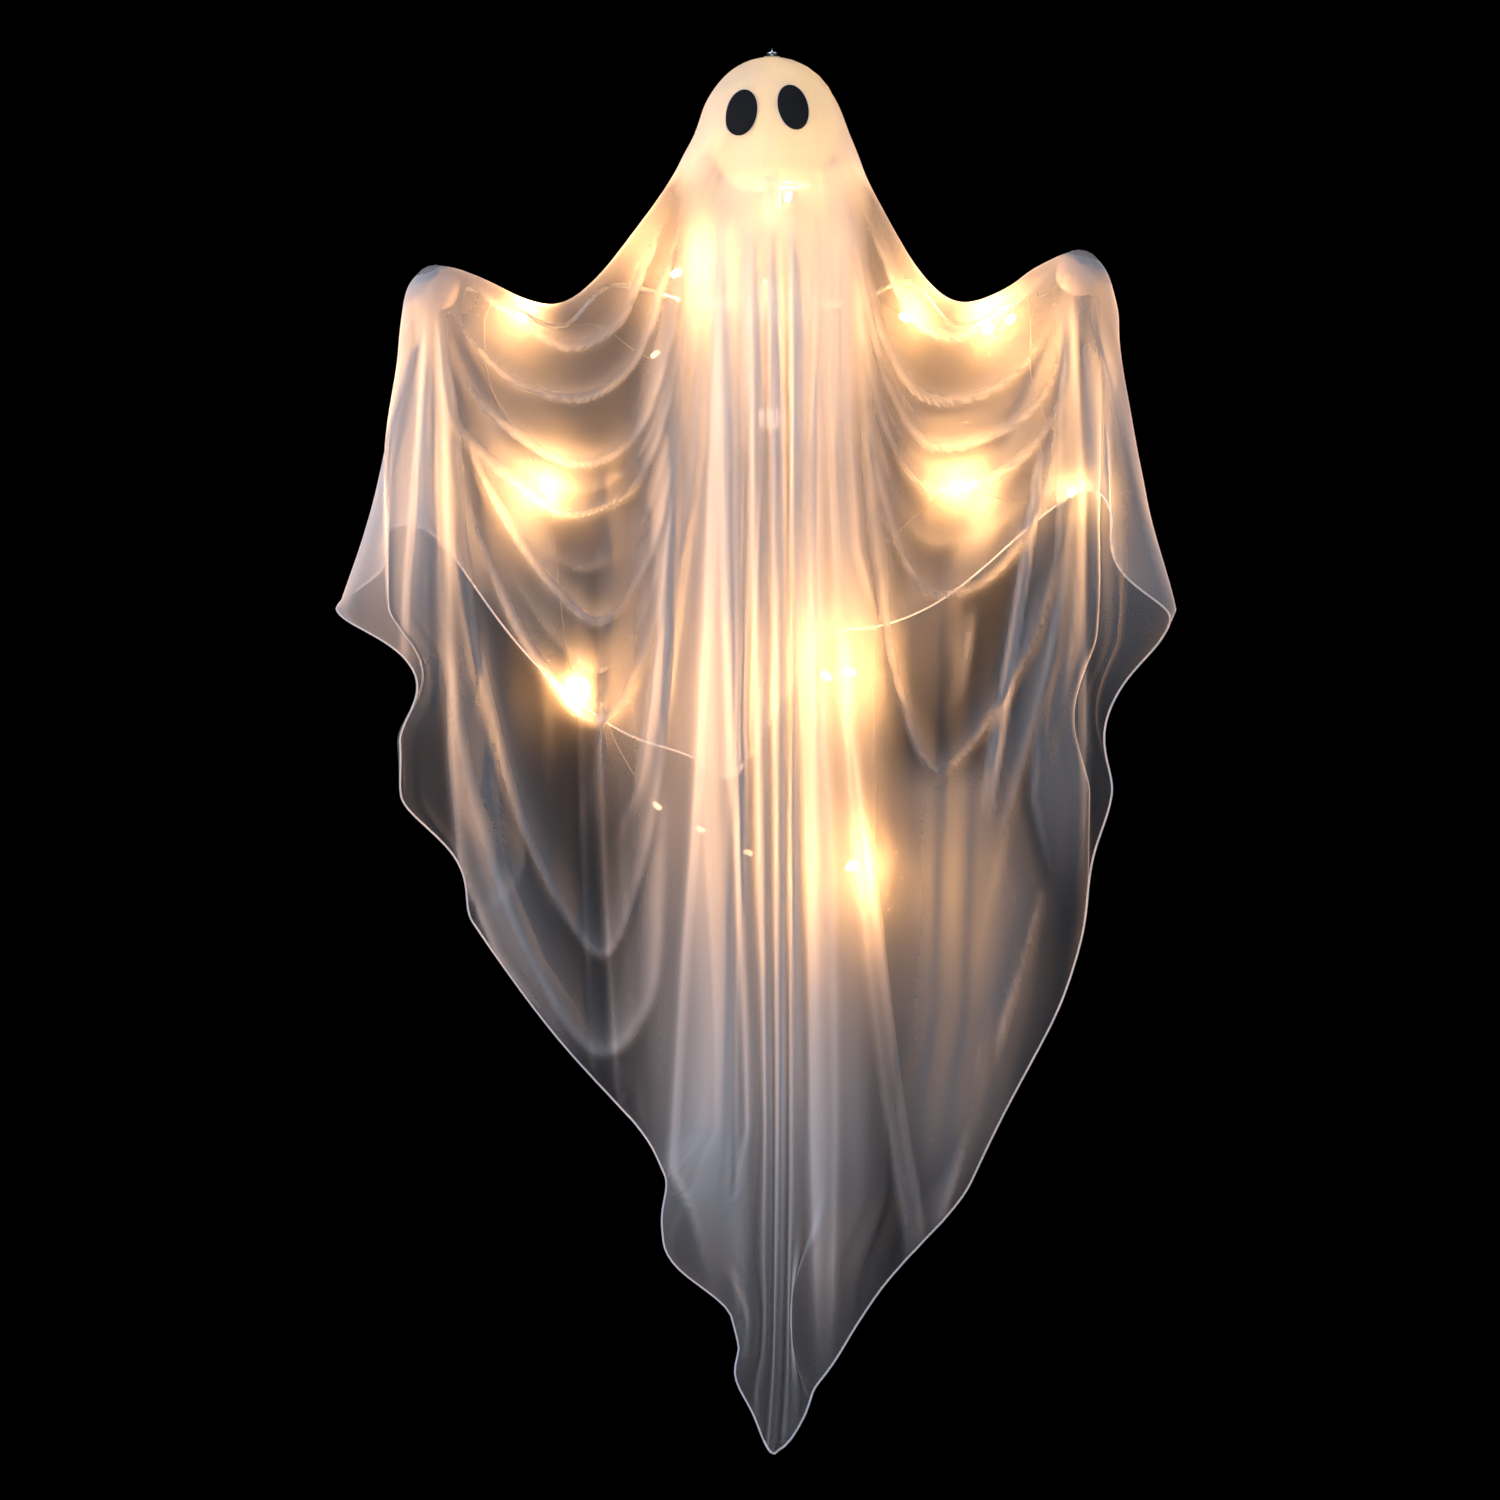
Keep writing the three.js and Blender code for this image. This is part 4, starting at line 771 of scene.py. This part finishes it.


# flat laps of cloth: how much is doubled up, how soft the edges are in millimetres, then rows of height, left edge
# and right edge, all three read off the photo in its pixels
# the rim cover paints a highlight, a thin line of extra cover along the edge of a crisp lap
lapLook = {"height": 0.005, "rise": 0.008, "rim": 0.0035, "rimHighlightCover": 0.3, "start": 0.05, "end": 0.14}
laps = [
    (0.5, 3, [(200, 692, 717), (350, 682, 711), (450, 675, 707), (560, 662, 691), (625, 655, 683), (700, 646, 671),
              (790, 632, 655), (885, 598, 625)]),
    (0.55, 3, [(200, 717, 736), (375, 711, 739), (520, 706, 739), (625, 702, 739), (750, 695, 741), (850, 689, 739),
               (950, 681, 736), (1100, 672, 733), (1170, 668, 732), (1210, 690, 732), (1330, 722, 735)]),
    (0.3, 3, [(220, 738, 747), (450, 740, 751), (700, 738, 749), (1000, 733, 746), (1300, 735, 745),
              (1400, 744, 751)]),
    (0.5, 3, [(200, 780, 815), (400, 788, 820), (550, 792, 820), (700, 798, 826), (850, 804, 833), (1000, 807, 837),
              (1120, 808, 838), (1300, 814, 835), (1410, 820, 828)]),
    (0.35, 3, [(200, 820, 849), (400, 822, 851), (550, 832, 861), (615, 836, 880), (690, 842, 903)]),
    (0.5, 3, [(600, 838, 847), (725, 843, 853), (800, 850, 863), (875, 857, 874), (975, 868, 889), (1100, 884, 906),
              (1250, 908, 930), (1340, 918, 935)]),
    (0.25, 4, [(290, 423, 429), (407, 412, 431), (583, 397, 434), (700, 391, 435), (770, 388, 437)]),
    (0.5, 3, [(290, 430, 437), (400, 438, 453), (560, 441, 468), (700, 443, 484), (760, 444, 493), (870, 452, 505),
               (960, 490, 541), (1040, 552, 592), (1110, 615, 650)]),
    (0.5, 3, [(270, 1064, 1076), (400, 1062, 1086), (540, 1058, 1092), (640, 1050, 1093), (740, 1038, 1094),
              (800, 1035, 1093), (860, 1050, 1091), (930, 1076, 1087)]),
    (1.0, 4, [(420, 1043, 1052), (540, 1026, 1038), (680, 1003, 1018), (830, 977, 995), (915, 960, 973)]),
    (0.7, 7, [(590, 966, 984), (690, 948, 970), (750, 924, 948)]),
    (0.25, 12, [(200, 744, 784), (400, 746, 790), (700, 748, 796), (1000, 746, 806), (1200, 744, 810)]),
    (0.62, 45, [(740, 890, 1010), (900, 890, 1050), (1000, 885, 1040), (1120, 890, 1010), (1260, 895, 960)]),
    (0.3, 20, [(540, 895, 965), (640, 880, 970), (760, 885, 960)]),
    (0.3, 14, [(480, 600, 650), (640, 600, 660), (760, 590, 650), (860, 560, 620)]),
]


def lapsOf(spot):
    height, doubledAndHighlight = np.zeros(len(spot)), np.zeros(len(spot))
    for amount, soft, rows in laps:
        rows = np.array(rows, float)
        down = -view["aim"][2] + (rows[:, 0] - view["middle"]) * view["pixel"]
        low, high = (np.interp(-spot[:, 2], down, view["aim"][0] + (rows[:, k] - view["middle"]) * view["pixel"])
                     for k in (1, 2))
        inner = np.minimum(spot[:, 0] - low, high - spot[:, 0])
        ends = smoothStep(-spot[:, 2] - down[0], 0, lapLook["start"])
        ends = ends * smoothStep(down[-1] + spot[:, 2], 0, lapLook["end"])
        inside = smoothStep(inner, -soft / 2000, soft / 1000) * ends
        # only a crisp lap shows its rim, as a painted highlight: a thin line of extra cover along its edge
        rim = np.exp(-(inner / lapLook["rim"]) ** 2) * ends * (soft < 5)
        height = np.maximum(height, lapLook["height"] * inside * np.clip(inner / lapLook["rise"], 0, 1))
        doubledAndHighlight = np.maximum(doubledAndHighlight, amount * inside + lapLook["rimHighlightCover"] * rim)
    return height, doubledAndHighlight


# a fold ends sharply on one side of its line and fades out on the other: widths as shares of the fold's own, heights
# and covers as shares of the full ones, "between" for the smaller fold that lies between each two
foldLook = {"height": 0.55, "sharp": 0.75, "soft": 1.9, "doubledCrestAndHighlight": 0.5, "fade": 2.1, "fadeCover": 0.6, "ends": 0.3,
            "between": 0.4, "betweenCover": 0.5}


# height of the folds at each point, and how much cloth is doubled up in them, with a painted highlight along each
# fold's crest
def drawnFolds(spot, folds, softSide):
    height, doubledAndHighlight = np.zeros(len(spot)), np.zeros(len(spot))
    main = len(folds)
    folds = folds + [(foldLook["between"] * high, wide, [tuple(0.5 * (np.array(a) + b)) for a, b in zip(one, other)])
                     for (high, wide, one), (_, _, other) in zip(folds, folds[1:]) if len(one) == len(other)]
    for k, (tall, wide, points) in enumerate(folds):
        line = smoothLine([(x / 100, 0, z / 100) for x, z in points], 0.004)[:, (0, 2)]
        width = wide / 1000
        low, high = line.min(0) - 5 * width, line.max(0) + 5 * width
        tangents = np.gradient(line, axis=0)
        near = np.flatnonzero(np.all((spot[:, (0, 2)] > low) & (spot[:, (0, 2)] < high), axis=1))
        for part in np.array_split(near, max(1, len(near) // 4000)):
            gap = np.linalg.norm(spot[part][:, None, (0, 2)] - line[None], axis=2)
            best = gap.argmin(1)
            share = best / (len(line) - 1)
            ends = smoothStep(np.minimum(share, 1 - share), 0, foldLook["ends"])
            ends = ends * (0.8 + 0.2 * np.sin(share * 9 + tall))
            away, along = spot[part][:, (0, 2)] - line[best], tangents[best]
            soft = (along[:, 0] * away[:, 1] - along[:, 1] * away[:, 0]) * softSide > 0
            off = gap[np.arange(len(part)), best] / width
            flank = np.exp(-(off / np.where(soft, foldLook["soft"], foldLook["sharp"])) ** 2)
            height[part] += foldLook["height"] * tall / 1000 * ends * flank
            # the narrow cover along the fold's line is partly doubled cloth and partly a painted highlight on the
            # crest
            doubledCrestAndHighlight, faded = np.exp(-(off / foldLook["doubledCrestAndHighlight"]) ** 2), np.exp(-(off / foldLook["fade"]) ** 1.5)
            cover = np.where(soft, foldLook["fadeCover"] * faded + (1 - foldLook["fadeCover"]) * doubledCrestAndHighlight, doubledCrestAndHighlight)
            doubledAndHighlight[part] = np.maximum(doubledAndHighlight[part], (1 if k < main else foldLook["betweenCover"]) * ends * cover)
    return height, doubledAndHighlight


# how wide the cloth hangs against how wide it was cut; what is missing goes into pleats
def hangingShare(spot, measure, cut, polygons, rounds=12):
    pairs = np.array([(p[k], p[k - 1]) for p in polygons for k in range(len(p))])
    step = measure[pairs[:, 0]] - measure[pairs[:, 1]]
    flatWise = np.abs(step[:, 0]) > 2 * np.abs(step[:, 1])
    pairs, step = pairs[flatWise], step[flatWise]
    share = (np.linalg.norm(spot[pairs[:, 0]] - spot[pairs[:, 1]], axis=1)
             / np.linalg.norm(cut[pairs[:, 0]] - cut[pairs[:, 1]], axis=1))
    value, number = np.full(len(spot), 1e-9), np.full(len(spot), 1e-9)
    for k in (0, 1):
        np.add.at(value, pairs[:, k], np.minimum(share, 1))
        np.add.at(number, pairs[:, k], 1)
    value = value / number
    for _ in range(rounds):
        total, number = value.copy(), np.ones(len(spot))
        for k in (0, 1):
            np.add.at(total, pairs[:, k], value[pairs[:, 1 - k]])
            np.add.at(number, pairs[:, k], 1)
        value = total / number
    return np.clip(value, 0.4, 1)


# pleats: how far apart, how deep at most, and the half width of the column under the head
pleat = {"wide": 0.052, "fine": 0.032, "fan": 0.27, "most": 0.019, "frontShare": 0.2,
         "column": 0.0046, "columnBehind": 0.014, "columnHalf": 0.085, "fanDepth": 0.004}


# one pleat per unit of phase: a steep flank and a long one
def lapped(phase):
    t = phase % 1
    return np.where(t < 0.3, smoothStep(t, 0, 0.3), 1 - smoothStep(t, 0.3, 1))


def pleats(spot, measure, share):
    across, down = measure[:, 0], measure[:, 1]
    x, z = spot[:, 0], spot[:, 2]
    need = np.sqrt(np.maximum(1 / share - 1, 0)) / np.pi
    column = np.exp(-(across / pleat["columnHalf"]) ** 4) * smoothStep(-z, 0.13, 0.24)
    low = smoothStep(np.abs(down), 0.10, 0.45)
    finePhase = across / pleat["fine"] + 0.35 * np.sin(across * 47) + 0.3 * np.sin(down * 4 + 1)
    widePhase = across / pleat["wide"] + 0.4 * np.sin(across * 23) + 0.25 * np.sin(down * 6 + across * 9)
    fine = column * np.minimum(pleat["fine"] * (0.05 + need),
                               np.where(down > 0, pleat["column"], pleat["columnBehind"]))
    wide = (1 - 0.8 * column) * low * np.minimum(pleat["wide"] * need, pleat["most"])
    wide *= np.where(down > 0, pleat["frontShare"], 1)
    fineWave, wideWave = lapped(finePhase), lapped(widePhase)
    depth = fine * (2 * fineWave - 1) + wide * (2 * wideWave - 1)
    doubledAndHighlight = 0.05 * column * fineWave ** 2 + 0.3 * np.minimum(wide / pleat["most"], 1) * wideWave ** 3
    for arm in arms.values():
        dx, dz = x - arm["sign"] * arm["hand"][0], arm["hand"][1] - z
        away = np.hypot(dx, dz)
        angle = np.arctan2(dx * arm["sign"], dz)
        fan = smoothStep(away, 0.025, 0.09) * (1 - smoothStep(away, 0.22, 0.42)) * (dz > -0.01)
        spoke = lapped(angle / pleat["fan"] + 0.25 * np.sin(angle * 4)) * fan * np.exp(-np.abs(angle / 0.75) ** 3)
        depth += pleat["fanDepth"] * spoke
        doubledAndHighlight += 0.4 * spoke ** 2
    return depth, doubledAndHighlight


# where the hem steps in and out at the side: height, reach up and down, move outwards, and from how far out
steps = {
    "left": [(-0.535, 0.06, -0.024, 0.24), (-0.695, 0.055, -0.024, 0.2), (-0.965, 0.05, 0.016, 0.0),
             (-1.02, 0.06, 0.040, 0.0), (-1.137, 0.035, 0.022, 0.0)],
    "right": [(-0.57, 0.07, -0.016, 0.22), (-0.95, 0.14, -0.012, 0.08), (-1.08, 0.11, -0.034, 0.01)],
}
# the corners of the cut come to a point, across and height, and are drawn out over this reach
corners = {"left": (-0.376, -0.479), "right": (0.348, -0.48), "reach": 0.09}
# the column under the head is full at its sides: place across, half width, how far out in front and behind
swells = [(0.054, 0.032, 0.022, 0.019), (-0.054, 0.03, 0.01, 0.004), (-0.086, 0.02, 0.014, 0.0)]


def drawnOut(last, x, z, reach):
    pull = np.maximum(1 - np.linalg.norm(spot - last, axis=1) / reach, 0) ** 2
    spot[:, 0] += pull * (x - last[0])
    spot[:, 2] += pull * (z - last[2])


for side, arm in arms.items():
    out = arm["sign"] * spot[:, 0]
    for height, reach, move, start in steps[side]:
        bump = np.maximum(1 - ((spot[:, 2] - height) / reach) ** 2, 0) ** 2
        out = out + move * bump * smoothStep(out, start, start + 0.045) * (out > 0)
    spot[:, 0] = np.where(arm["sign"] * spot[:, 0] > 0, arm["sign"] * out, spot[:, 0])
    drawnOut(spot[np.argmax(arm["sign"] * spot[:, 0])].copy(), *corners[side], corners["reach"])
drawnOut(spot[np.argmin(spot[:, 2])].copy(), shape["tip"], shape["tipEnd"], shape["tipReach"])
tall = smoothStep(-spot[:, 2], 0.1, 0.24) * (1 - smoothStep(-spot[:, 2], 1.0, 1.17))
tall *= smoothStep(np.abs(measure[:, 1]), 0.0, 0.05)
for place, half, ahead, behind in swells:
    outward = np.where(measure[:, 1] > 0, -ahead, behind)
    spot[:, 1] += outward * tall * np.exp(-((spot[:, 0] - place) / half) ** 2)

polygons = [tuple(p.vertices) for p in fine.polygons]
front = measure[:, 1] > 0
cut = cutPlaces(measure)
share = hangingShare(spot, measure, cut, polygons)
hang, doubledAndHighlight = pleats(spot, measure, share)
for part, softSide in (("left", 1), ("right", -1)):
    height, more = drawnFolds(spot[front], folds[part], softSide)
    hang[front] += height
    doubledAndHighlight[front] = np.maximum(doubledAndHighlight[front], more)
height, more = lapsOf(spot[front])
hang[front] += height
doubledAndHighlight[front] = np.maximum(doubledAndHighlight[front], more)
hang[~front] *= -1
spot[:, 1] -= hang * smoothStep(np.abs(measure[:, 1]), 0.0, 0.05)
print("hanging share: least", round(share.min(), 2), "mean", round(share.mean(), 2))
fine.vertices.foreach_set("co", spot.ravel())
fine.update()
print("folds done")

# how much cloth is gathered where: in the column under the face, at the neck, down the back, around the hands, at the
# outer edges and in the doubled folds, together with the painted highlights along fold crests and lap rims; the
# column's half widths follow the depth below the eye
gathered = {"column": 0.5, "lowEnd": 0.85, "neck": 0.85, "back": 0.3, "hand": 0.2, "aroundHand": 0.12,
            "outer": {"left": 0.6, "right": 0.25}, "doubledAndHighlight": 0.55}
columnEdge = {"left": ([0, 0.15, 0.35, 0.6, 0.8, 1.0, 1.2], [0.06, 0.075, 0.1, 0.112, 0.1, 0.085, 0.06]),
              "right": ([0, 0.15, 0.35, 0.6, 0.8, 1.0, 1.2], [0.06, 0.072, 0.082, 0.092, 0.092, 0.075, 0.06])}
wideLeft, wideRight = (np.interp(-spot[:, 2], *columnEdge[side]) for side in ("left", "right"))
gatherAndHighlight = gathered["column"] * np.exp(-np.abs(spot[:, 0] / np.where(spot[:, 0] < 0, wideLeft, wideRight)) ** 5) * front
gatherAndHighlight *= 1 - gathered["lowEnd"] * smoothStep(-spot[:, 2], 0.85, 1.15)
neck = smoothStep(-spot[:, 2], 0.05, 0.11) * (1 - smoothStep(-spot[:, 2], 0.24, 0.5))
middle = 1 - smoothStep(np.abs(spot[:, 0]), 0.055, 0.09)
gatherAndHighlight = np.maximum(gatherAndHighlight, gathered["neck"] * neck * middle * front)
gatherAndHighlight = np.maximum(gatherAndHighlight, gathered["back"] * (1 - smoothStep(np.abs(spot[:, 0]), 0.05, 0.09)) * ~front)
fromHead = np.linalg.norm(spot - (0, 0, head["height"]), axis=1)
gatherAndHighlight = np.maximum(gatherAndHighlight, 1 - smoothStep(fromHead, 0.064, 0.11))
for side, arm in arms.items():
    away = np.hypot(spot[:, 0] - arm["sign"] * arm["hand"][0], spot[:, 2] - arm["hand"][1])
    gatherAndHighlight = np.maximum(gatherAndHighlight, gathered["hand"] * np.exp(-(away / 0.05) ** 2)
                        + gathered["aroundHand"] * np.exp(-(away / 0.16) ** 2))
    outer = smoothStep(arm["sign"] * spot[:, 0], arm["hand"][0] - 0.03, arm["hand"][0] + 0.02)
    gatherAndHighlight = np.maximum(gatherAndHighlight, gathered["outer"][side] * outer * (1 - smoothStep(-spot[:, 2], 0.4, 0.6)))
gatherAndHighlight = np.clip(gatherAndHighlight + gathered["doubledAndHighlight"] * np.minimum(doubledAndHighlight, 1), 0, 1)


# the cloth goes out as a left and a right half that share the line down the middle
normals = np.empty(count * 3)
fine.vertices.foreach_get("normal", normals)
normals = normals.reshape(-1, 3)
middles = np.array([measure[list(p), 0].mean() for p in polygons])

# the order of the rim's points, all the way round
sides = {(a, b) for p in polygons for a, b in zip(p, p[1:] + p[:1])}
rimNext = {a: b for a, b in sides if (b, a) not in sides}
start = max((k for k in rimNext if abs(measure[k, 0]) < 1e-6), key=lambda k: measure[k, 1])
rim = [start]
while rimNext[rim[-1]] != start:
    rim.append(rimNext[rim[-1]])
rim = np.array(rim + [start])
print("rim:", len(rim), "points")

# a rolled edge with a stitch every few millimetres, laid along the rim
hem = {"roll": 0.0008, "stitchEvery": 0.0042, "stitchLong": 0.0024, "stitchThick": 0.00022}


def buildHemTree():
    tree = bpy.data.node_groups.new("rolledHem", "GeometryNodeTree")
    sockets = [("Geometry", "INPUT", "Geometry"), ("Roll Radius", "INPUT", "Float"),
               ("Stitch Spacing", "INPUT", "Float"), ("Stitch Length", "INPUT", "Float"),
               ("Stitch Radius", "INPUT", "Float"), ("Roll Material", "INPUT", "Material"),
               ("Stitch Material", "INPUT", "Material"), ("Geometry", "OUTPUT", "Geometry")]
    for label, way, kind in sockets:
        tree.interface.new_socket(name=label, in_out=way, socket_type="NodeSocket" + kind)
    given = newNode(tree, "NodeGroupInput").outputs
    curve = newNode(tree, "GeometryNodeMeshToCurve", {"Mesh": given["Geometry"]}).outputs["Curve"]
    ring = newNode(tree, "GeometryNodeCurvePrimitiveCircle", {"Resolution": 6, "Radius": given["Roll Radius"]})
    sweep = newNode(tree, "GeometryNodeCurveToMesh", {
        "Curve": curve, "Profile Curve": ring.outputs["Curve"], "Fill Caps": True})
    roll = newNode(tree, "GeometryNodeSetMaterial", {
        "Geometry": sweep.outputs["Mesh"], "Material": given["Roll Material"]})
    stops = newNode(tree, "GeometryNodeCurveToPoints", {"Curve": curve, "Length": given["Stitch Spacing"]},
                    mode="LENGTH")
    stitch = newNode(tree, "GeometryNodeMeshCylinder", {
        "Vertices": 5, "Radius": given["Stitch Radius"], "Depth": given["Stitch Length"]})
    # each stitch slants across the roll
    slant = newNode(tree, "FunctionNodeRotateEuler", {
        "Rotation": stops.outputs["Rotation"], "Rotate By": (0.5, 0, 0)}, space="LOCAL")
    spread = newNode(tree, "GeometryNodeInstanceOnPoints", {
        "Points": stops.outputs["Points"], "Instance": stitch.outputs["Mesh"],
        "Rotation": slant.outputs["Rotation"]})
    shift = newNode(tree, "ShaderNodeCombineXYZ", {"X": given["Roll Radius"]})
    aside = newNode(tree, "GeometryNodeTranslateInstances", {
        "Instances": spread.outputs["Instances"], "Translation": shift.outputs["Vector"]})
    real = newNode(tree, "GeometryNodeRealizeInstances", {"Geometry": aside.outputs["Instances"]})
    stitches = newNode(tree, "GeometryNodeSetMaterial", {
        "Geometry": real.outputs["Geometry"], "Material": given["Stitch Material"]})
    join = newNode(tree, "GeometryNodeJoinGeometry", {"Geometry": roll.outputs["Geometry"]})
    feed(tree, join.inputs, {"Geometry": stitches.outputs["Geometry"]})
    newNode(tree, "NodeGroupOutput", {"Geometry": join.outputs["Geometry"]})
    return tree


def throughTree(name, points, tree, values, closed=False):
    edges = [(k, k + 1) for k in range(len(points) - 1)]
    if closed:
        edges.append((len(points) - 1, 0))
    obj = addObject(name, meshFrom(name, points, [], edges))
    modifier = obj.modifiers.new("Nodes", "NODES")
    modifier.node_group = tree
    for item in tree.interface.items_tree:
        if item.item_type == "SOCKET" and item.in_out == "INPUT" and item.name in values:
            modifier[item.identifier] = values[item.name]
    made = bpy.data.meshes.new_from_object(obj.evaluated_get(bpy.context.evaluated_depsgraph_get()))
    obj.modifiers.clear()
    obj.data = made
    obj.name = name
    made.polygons.foreach_set("use_smooth", [True] * len(made.polygons))
    return obj


hemTree = buildHemTree()
hemValues = {"Roll Radius": hem["roll"], "Stitch Spacing": hem["stitchEvery"], "Stitch Length": hem["stitchLong"],
             "Stitch Radius": hem["stitchThick"], "Roll Material": finishes["hem"],
             "Stitch Material": finishes["thread"]}
halves = {}
for side, arm in arms.items():
    chosen = [p for p, m in zip(polygons, middles) if (m < 0) == (arm["sign"] < 0)]
    used = np.unique(np.concatenate([np.array(p) for p in chosen]))
    renumber = np.full(count, -1)
    renumber[used] = np.arange(len(used))
    mesh = meshFrom(side + "Voile", spot[used], [tuple(renumber[list(p)]) for p in chosen])
    uv = mesh.uv_layers.new(name="cut")
    corner = np.empty(len(mesh.loops), int)
    mesh.loops.foreach_get("vertex_index", corner)
    uv.data.foreach_set("uv", cut[used][corner].ravel())
    attribute = mesh.attributes.new("gatherAndHighlight", "FLOAT", "POINT")
    attribute.data.foreach_set("value", gatherAndHighlight[used])
    mesh.normals_split_custom_set_from_vertices([tuple(n) for n in normals[used]])
    cloth = addObject(side + "_voile", mesh, finishes["cloth"])
    edge = [k for k in rim if (measure[k, 0] <= 1e-6 if side == "left" else measure[k, 0] >= -1e-6)]
    if side == "left" and edge[0] == edge[-1]:
        edge = edge[:-1]
    # the run starts and ends on the middle line
    order = [k for k in rim if k in set(edge)]
    breakAt = [i for i in range(len(order) - 1) if rimNext[order[i]] != order[i + 1]]
    if breakAt:
        order = order[breakAt[0] + 1:] + order[1:breakAt[0] + 1]
    rolled = throughTree(side + "_hem", spot[order], hemTree, hemValues)
    halves[side] = (cloth, rolled)
    print(side, "half:", len(mesh.polygons), "faces, hem", len(rolled.data.polygons), "faces")

# each half's reach across the cut is worked out, and the half and its hem are set in place
for side, arm in arms.items():
    reach = float(cutWidth(ridges[side][0][-1]))
    ways = np.linspace(0, reach, 401)
    wide = np.abs(cutPlaces(np.stack([arm["sign"] * ways, 0 * ways], axis=1))[:, 0])
    reach = float(wide[-1])
    cloth, rolled = halves[side]
    for piece in (cloth, rolled):
        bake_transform(piece)
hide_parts("front_drape")
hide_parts("back_drape")
print("cloth halves done")


# eyes: two felt ovals on the cloth over the head
eyes = {
    "left": {"at": (-0.42, 0.06), "tilt": 8}, "right": {"at": (0.285, 0.125), "tilt": -12},
    "half": (0.0128, 0.0195), "gap": 0.0012, "thick": 0.0009, "rim": 0.00045,
}
skin = BVHTree.FromPolygons([tuple(p) for p in spot], polygons)


# straight out from the head's middle, through the point of the dome seen at x and z
def onCloth(x, z, off):
    centre = Vector((0, 0, head["height"]))
    out = Vector((x, -math.sqrt(max(shape["domeRadius"] ** 2 - x * x - (z - centre.z) ** 2, 0)), z - centre.z))
    out.normalize()
    hit, _, _, _ = skin.ray_cast(centre + out * 0.2, -out)
    return centre + out * ((hit - centre).length + off)


def feltEye(side):
    eye = eyes[side]
    middleX = eye["at"][0] * voile["radius"]
    middleZ = head["height"] + eye["at"][1] * voile["radius"]
    lean = math.radians(eye["tilt"])

    def place(radius, angle, off):
        u, v = eyes["half"][0] * radius * math.cos(angle), eyes["half"][1] * radius * math.sin(angle)
        return onCloth(middleX + u * math.cos(lean) + v * math.sin(lean),
                       middleZ - u * math.sin(lean) + v * math.cos(lean), off)

    rings, around = 9, 48
    points, faces = [], []
    for layer in (0, 1):
        for r in range(rings + 1):
            share = r / rings
            # the top layer rounds down towards its edge
            lift = eyes["gap"] + (eyes["thick"] * (1 - 0.45 * share ** 6) if layer else 0)
            for k in range(around if r else 1):
                points.append(place(share, 2 * math.pi * k / around, lift))
    layerSize = 1 + rings * around

    def at(layer, r, k):
        return layer * layerSize + (0 if r == 0 else 1 + (r - 1) * around + k % around)

    for layer in (0, 1):
        for r in range(rings):
            for k in range(around):
                face = ([at(layer, 0, 0), at(layer, 1, k), at(layer, 1, k + 1)] if r == 0 else
                        [at(layer, r, k), at(layer, r + 1, k), at(layer, r + 1, k + 1), at(layer, r, k + 1)])
                faces.append(face if layer else face[::-1])
    for k in range(around):
        faces.append([at(0, rings, k), at(0, rings, k + 1), at(1, rings, k + 1), at(1, rings, k)])
    felt = addObject(side + "_eye_felt", meshFrom(side + "_eye_felt", points, faces), finishes["felt"])
    line = [place(1.03, 2 * math.pi * k / 96, eyes["gap"] + 0.3 * eyes["thick"]) for k in range(96)]
    rim = throughTree(side + "_eye_rim", line, hemTree,
                      {**hemValues, "Roll Radius": eyes["rim"], "Stitch Spacing": 0.003, "Stitch Length": 0.0014,
                       "Roll Material": finishes["thread"]}, closed=True)
    return felt, rim


for side in arms:
    felt, rimPiece = feltEye(side)
    for piece in (felt, rimPiece):
        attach(piece, "frame")
    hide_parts(side + "_felt_eye")
print("eyes done")


# studio: black behind, pale floor under, soft cool light
studio = {
    "floorDrop": -1.46, "floorRadius": 0.8, "floorPoints": 64, "world": 0.35, "worldColour": (0.80, 0.85, 1.0, 1),
    "lights": {
        "key": {"place": (-2.0, -1.9, -0.1), "aim": (0, 0, -0.6), "power": 54, "colour": (0.74, 0.81, 1.0)},
        "fill": {"place": (2.0, -1.2, 0.0), "aim": (0, 0, -0.7), "power": 16, "colour": (0.76, 0.82, 1.0)},
    },
    "lightSize": 2.0,
}
world = bpy.data.worlds.new("studio")
scene.world = world
world.use_nodes = True
tree = world.node_tree
soft = tree.nodes["Background"]
feed(tree, soft.inputs, {"Color": studio["worldColour"], "Strength": studio["world"]})
# what the camera sees past the object is black
dark = newNode(tree, "ShaderNodeBackground", {"Color": (0.0, 0.0, 0.0, 1)})
rays = newNode(tree, "ShaderNodeLightPath").outputs
direct = math2(tree, "MAXIMUM", rays["Is Camera Ray"], rays["Is Glossy Ray"])
direct = math2(tree, "MAXIMUM", direct, rays["Is Transmission Ray"])
mix = newNode(tree, "ShaderNodeMixShader", {"Fac": direct, 1: soft.outputs[0], 2: dark.outputs[0]})
feed(tree, tree.nodes["World Output"].inputs, {"Surface": mix.outputs[0]})


def addSoftLight(name, place, aim, power, colour):
    light = bpy.data.lights.new(name, "AREA")
    light.shape = "DISK"
    light.size = studio["lightSize"]
    light.energy = power
    light.color = colour
    obj = bpy.data.objects.new(name, light)
    obj.location = place
    obj.rotation_euler = (Vector(aim) - Vector(place)).to_track_quat("-Z", "Y").to_euler()
    scene.collection.objects.link(obj)


for name, values in studio["lights"].items():
    addSoftLight(name, **values)

around = studio["floorPoints"]
floorPoints = [(0, 0, studio["floorDrop"])]
for k in range(around):
    angle = 2 * math.pi * k / around
    floorPoints.append((studio["floorRadius"] * math.cos(angle), studio["floorRadius"] * math.sin(angle),
                        studio["floorDrop"]))
floorFaces = [(0, k + 1, (k + 1) % around + 1) for k in range(around)]
floor = addObject("floor", meshFrom("floor", floorPoints, floorFaces),
                  moulded("paleFloor", (0.55, 0.55, 0.56), (0.60, 0.60, 0.61), (0.7, 0.85), 0.0, 60, 3))
print("studio done")
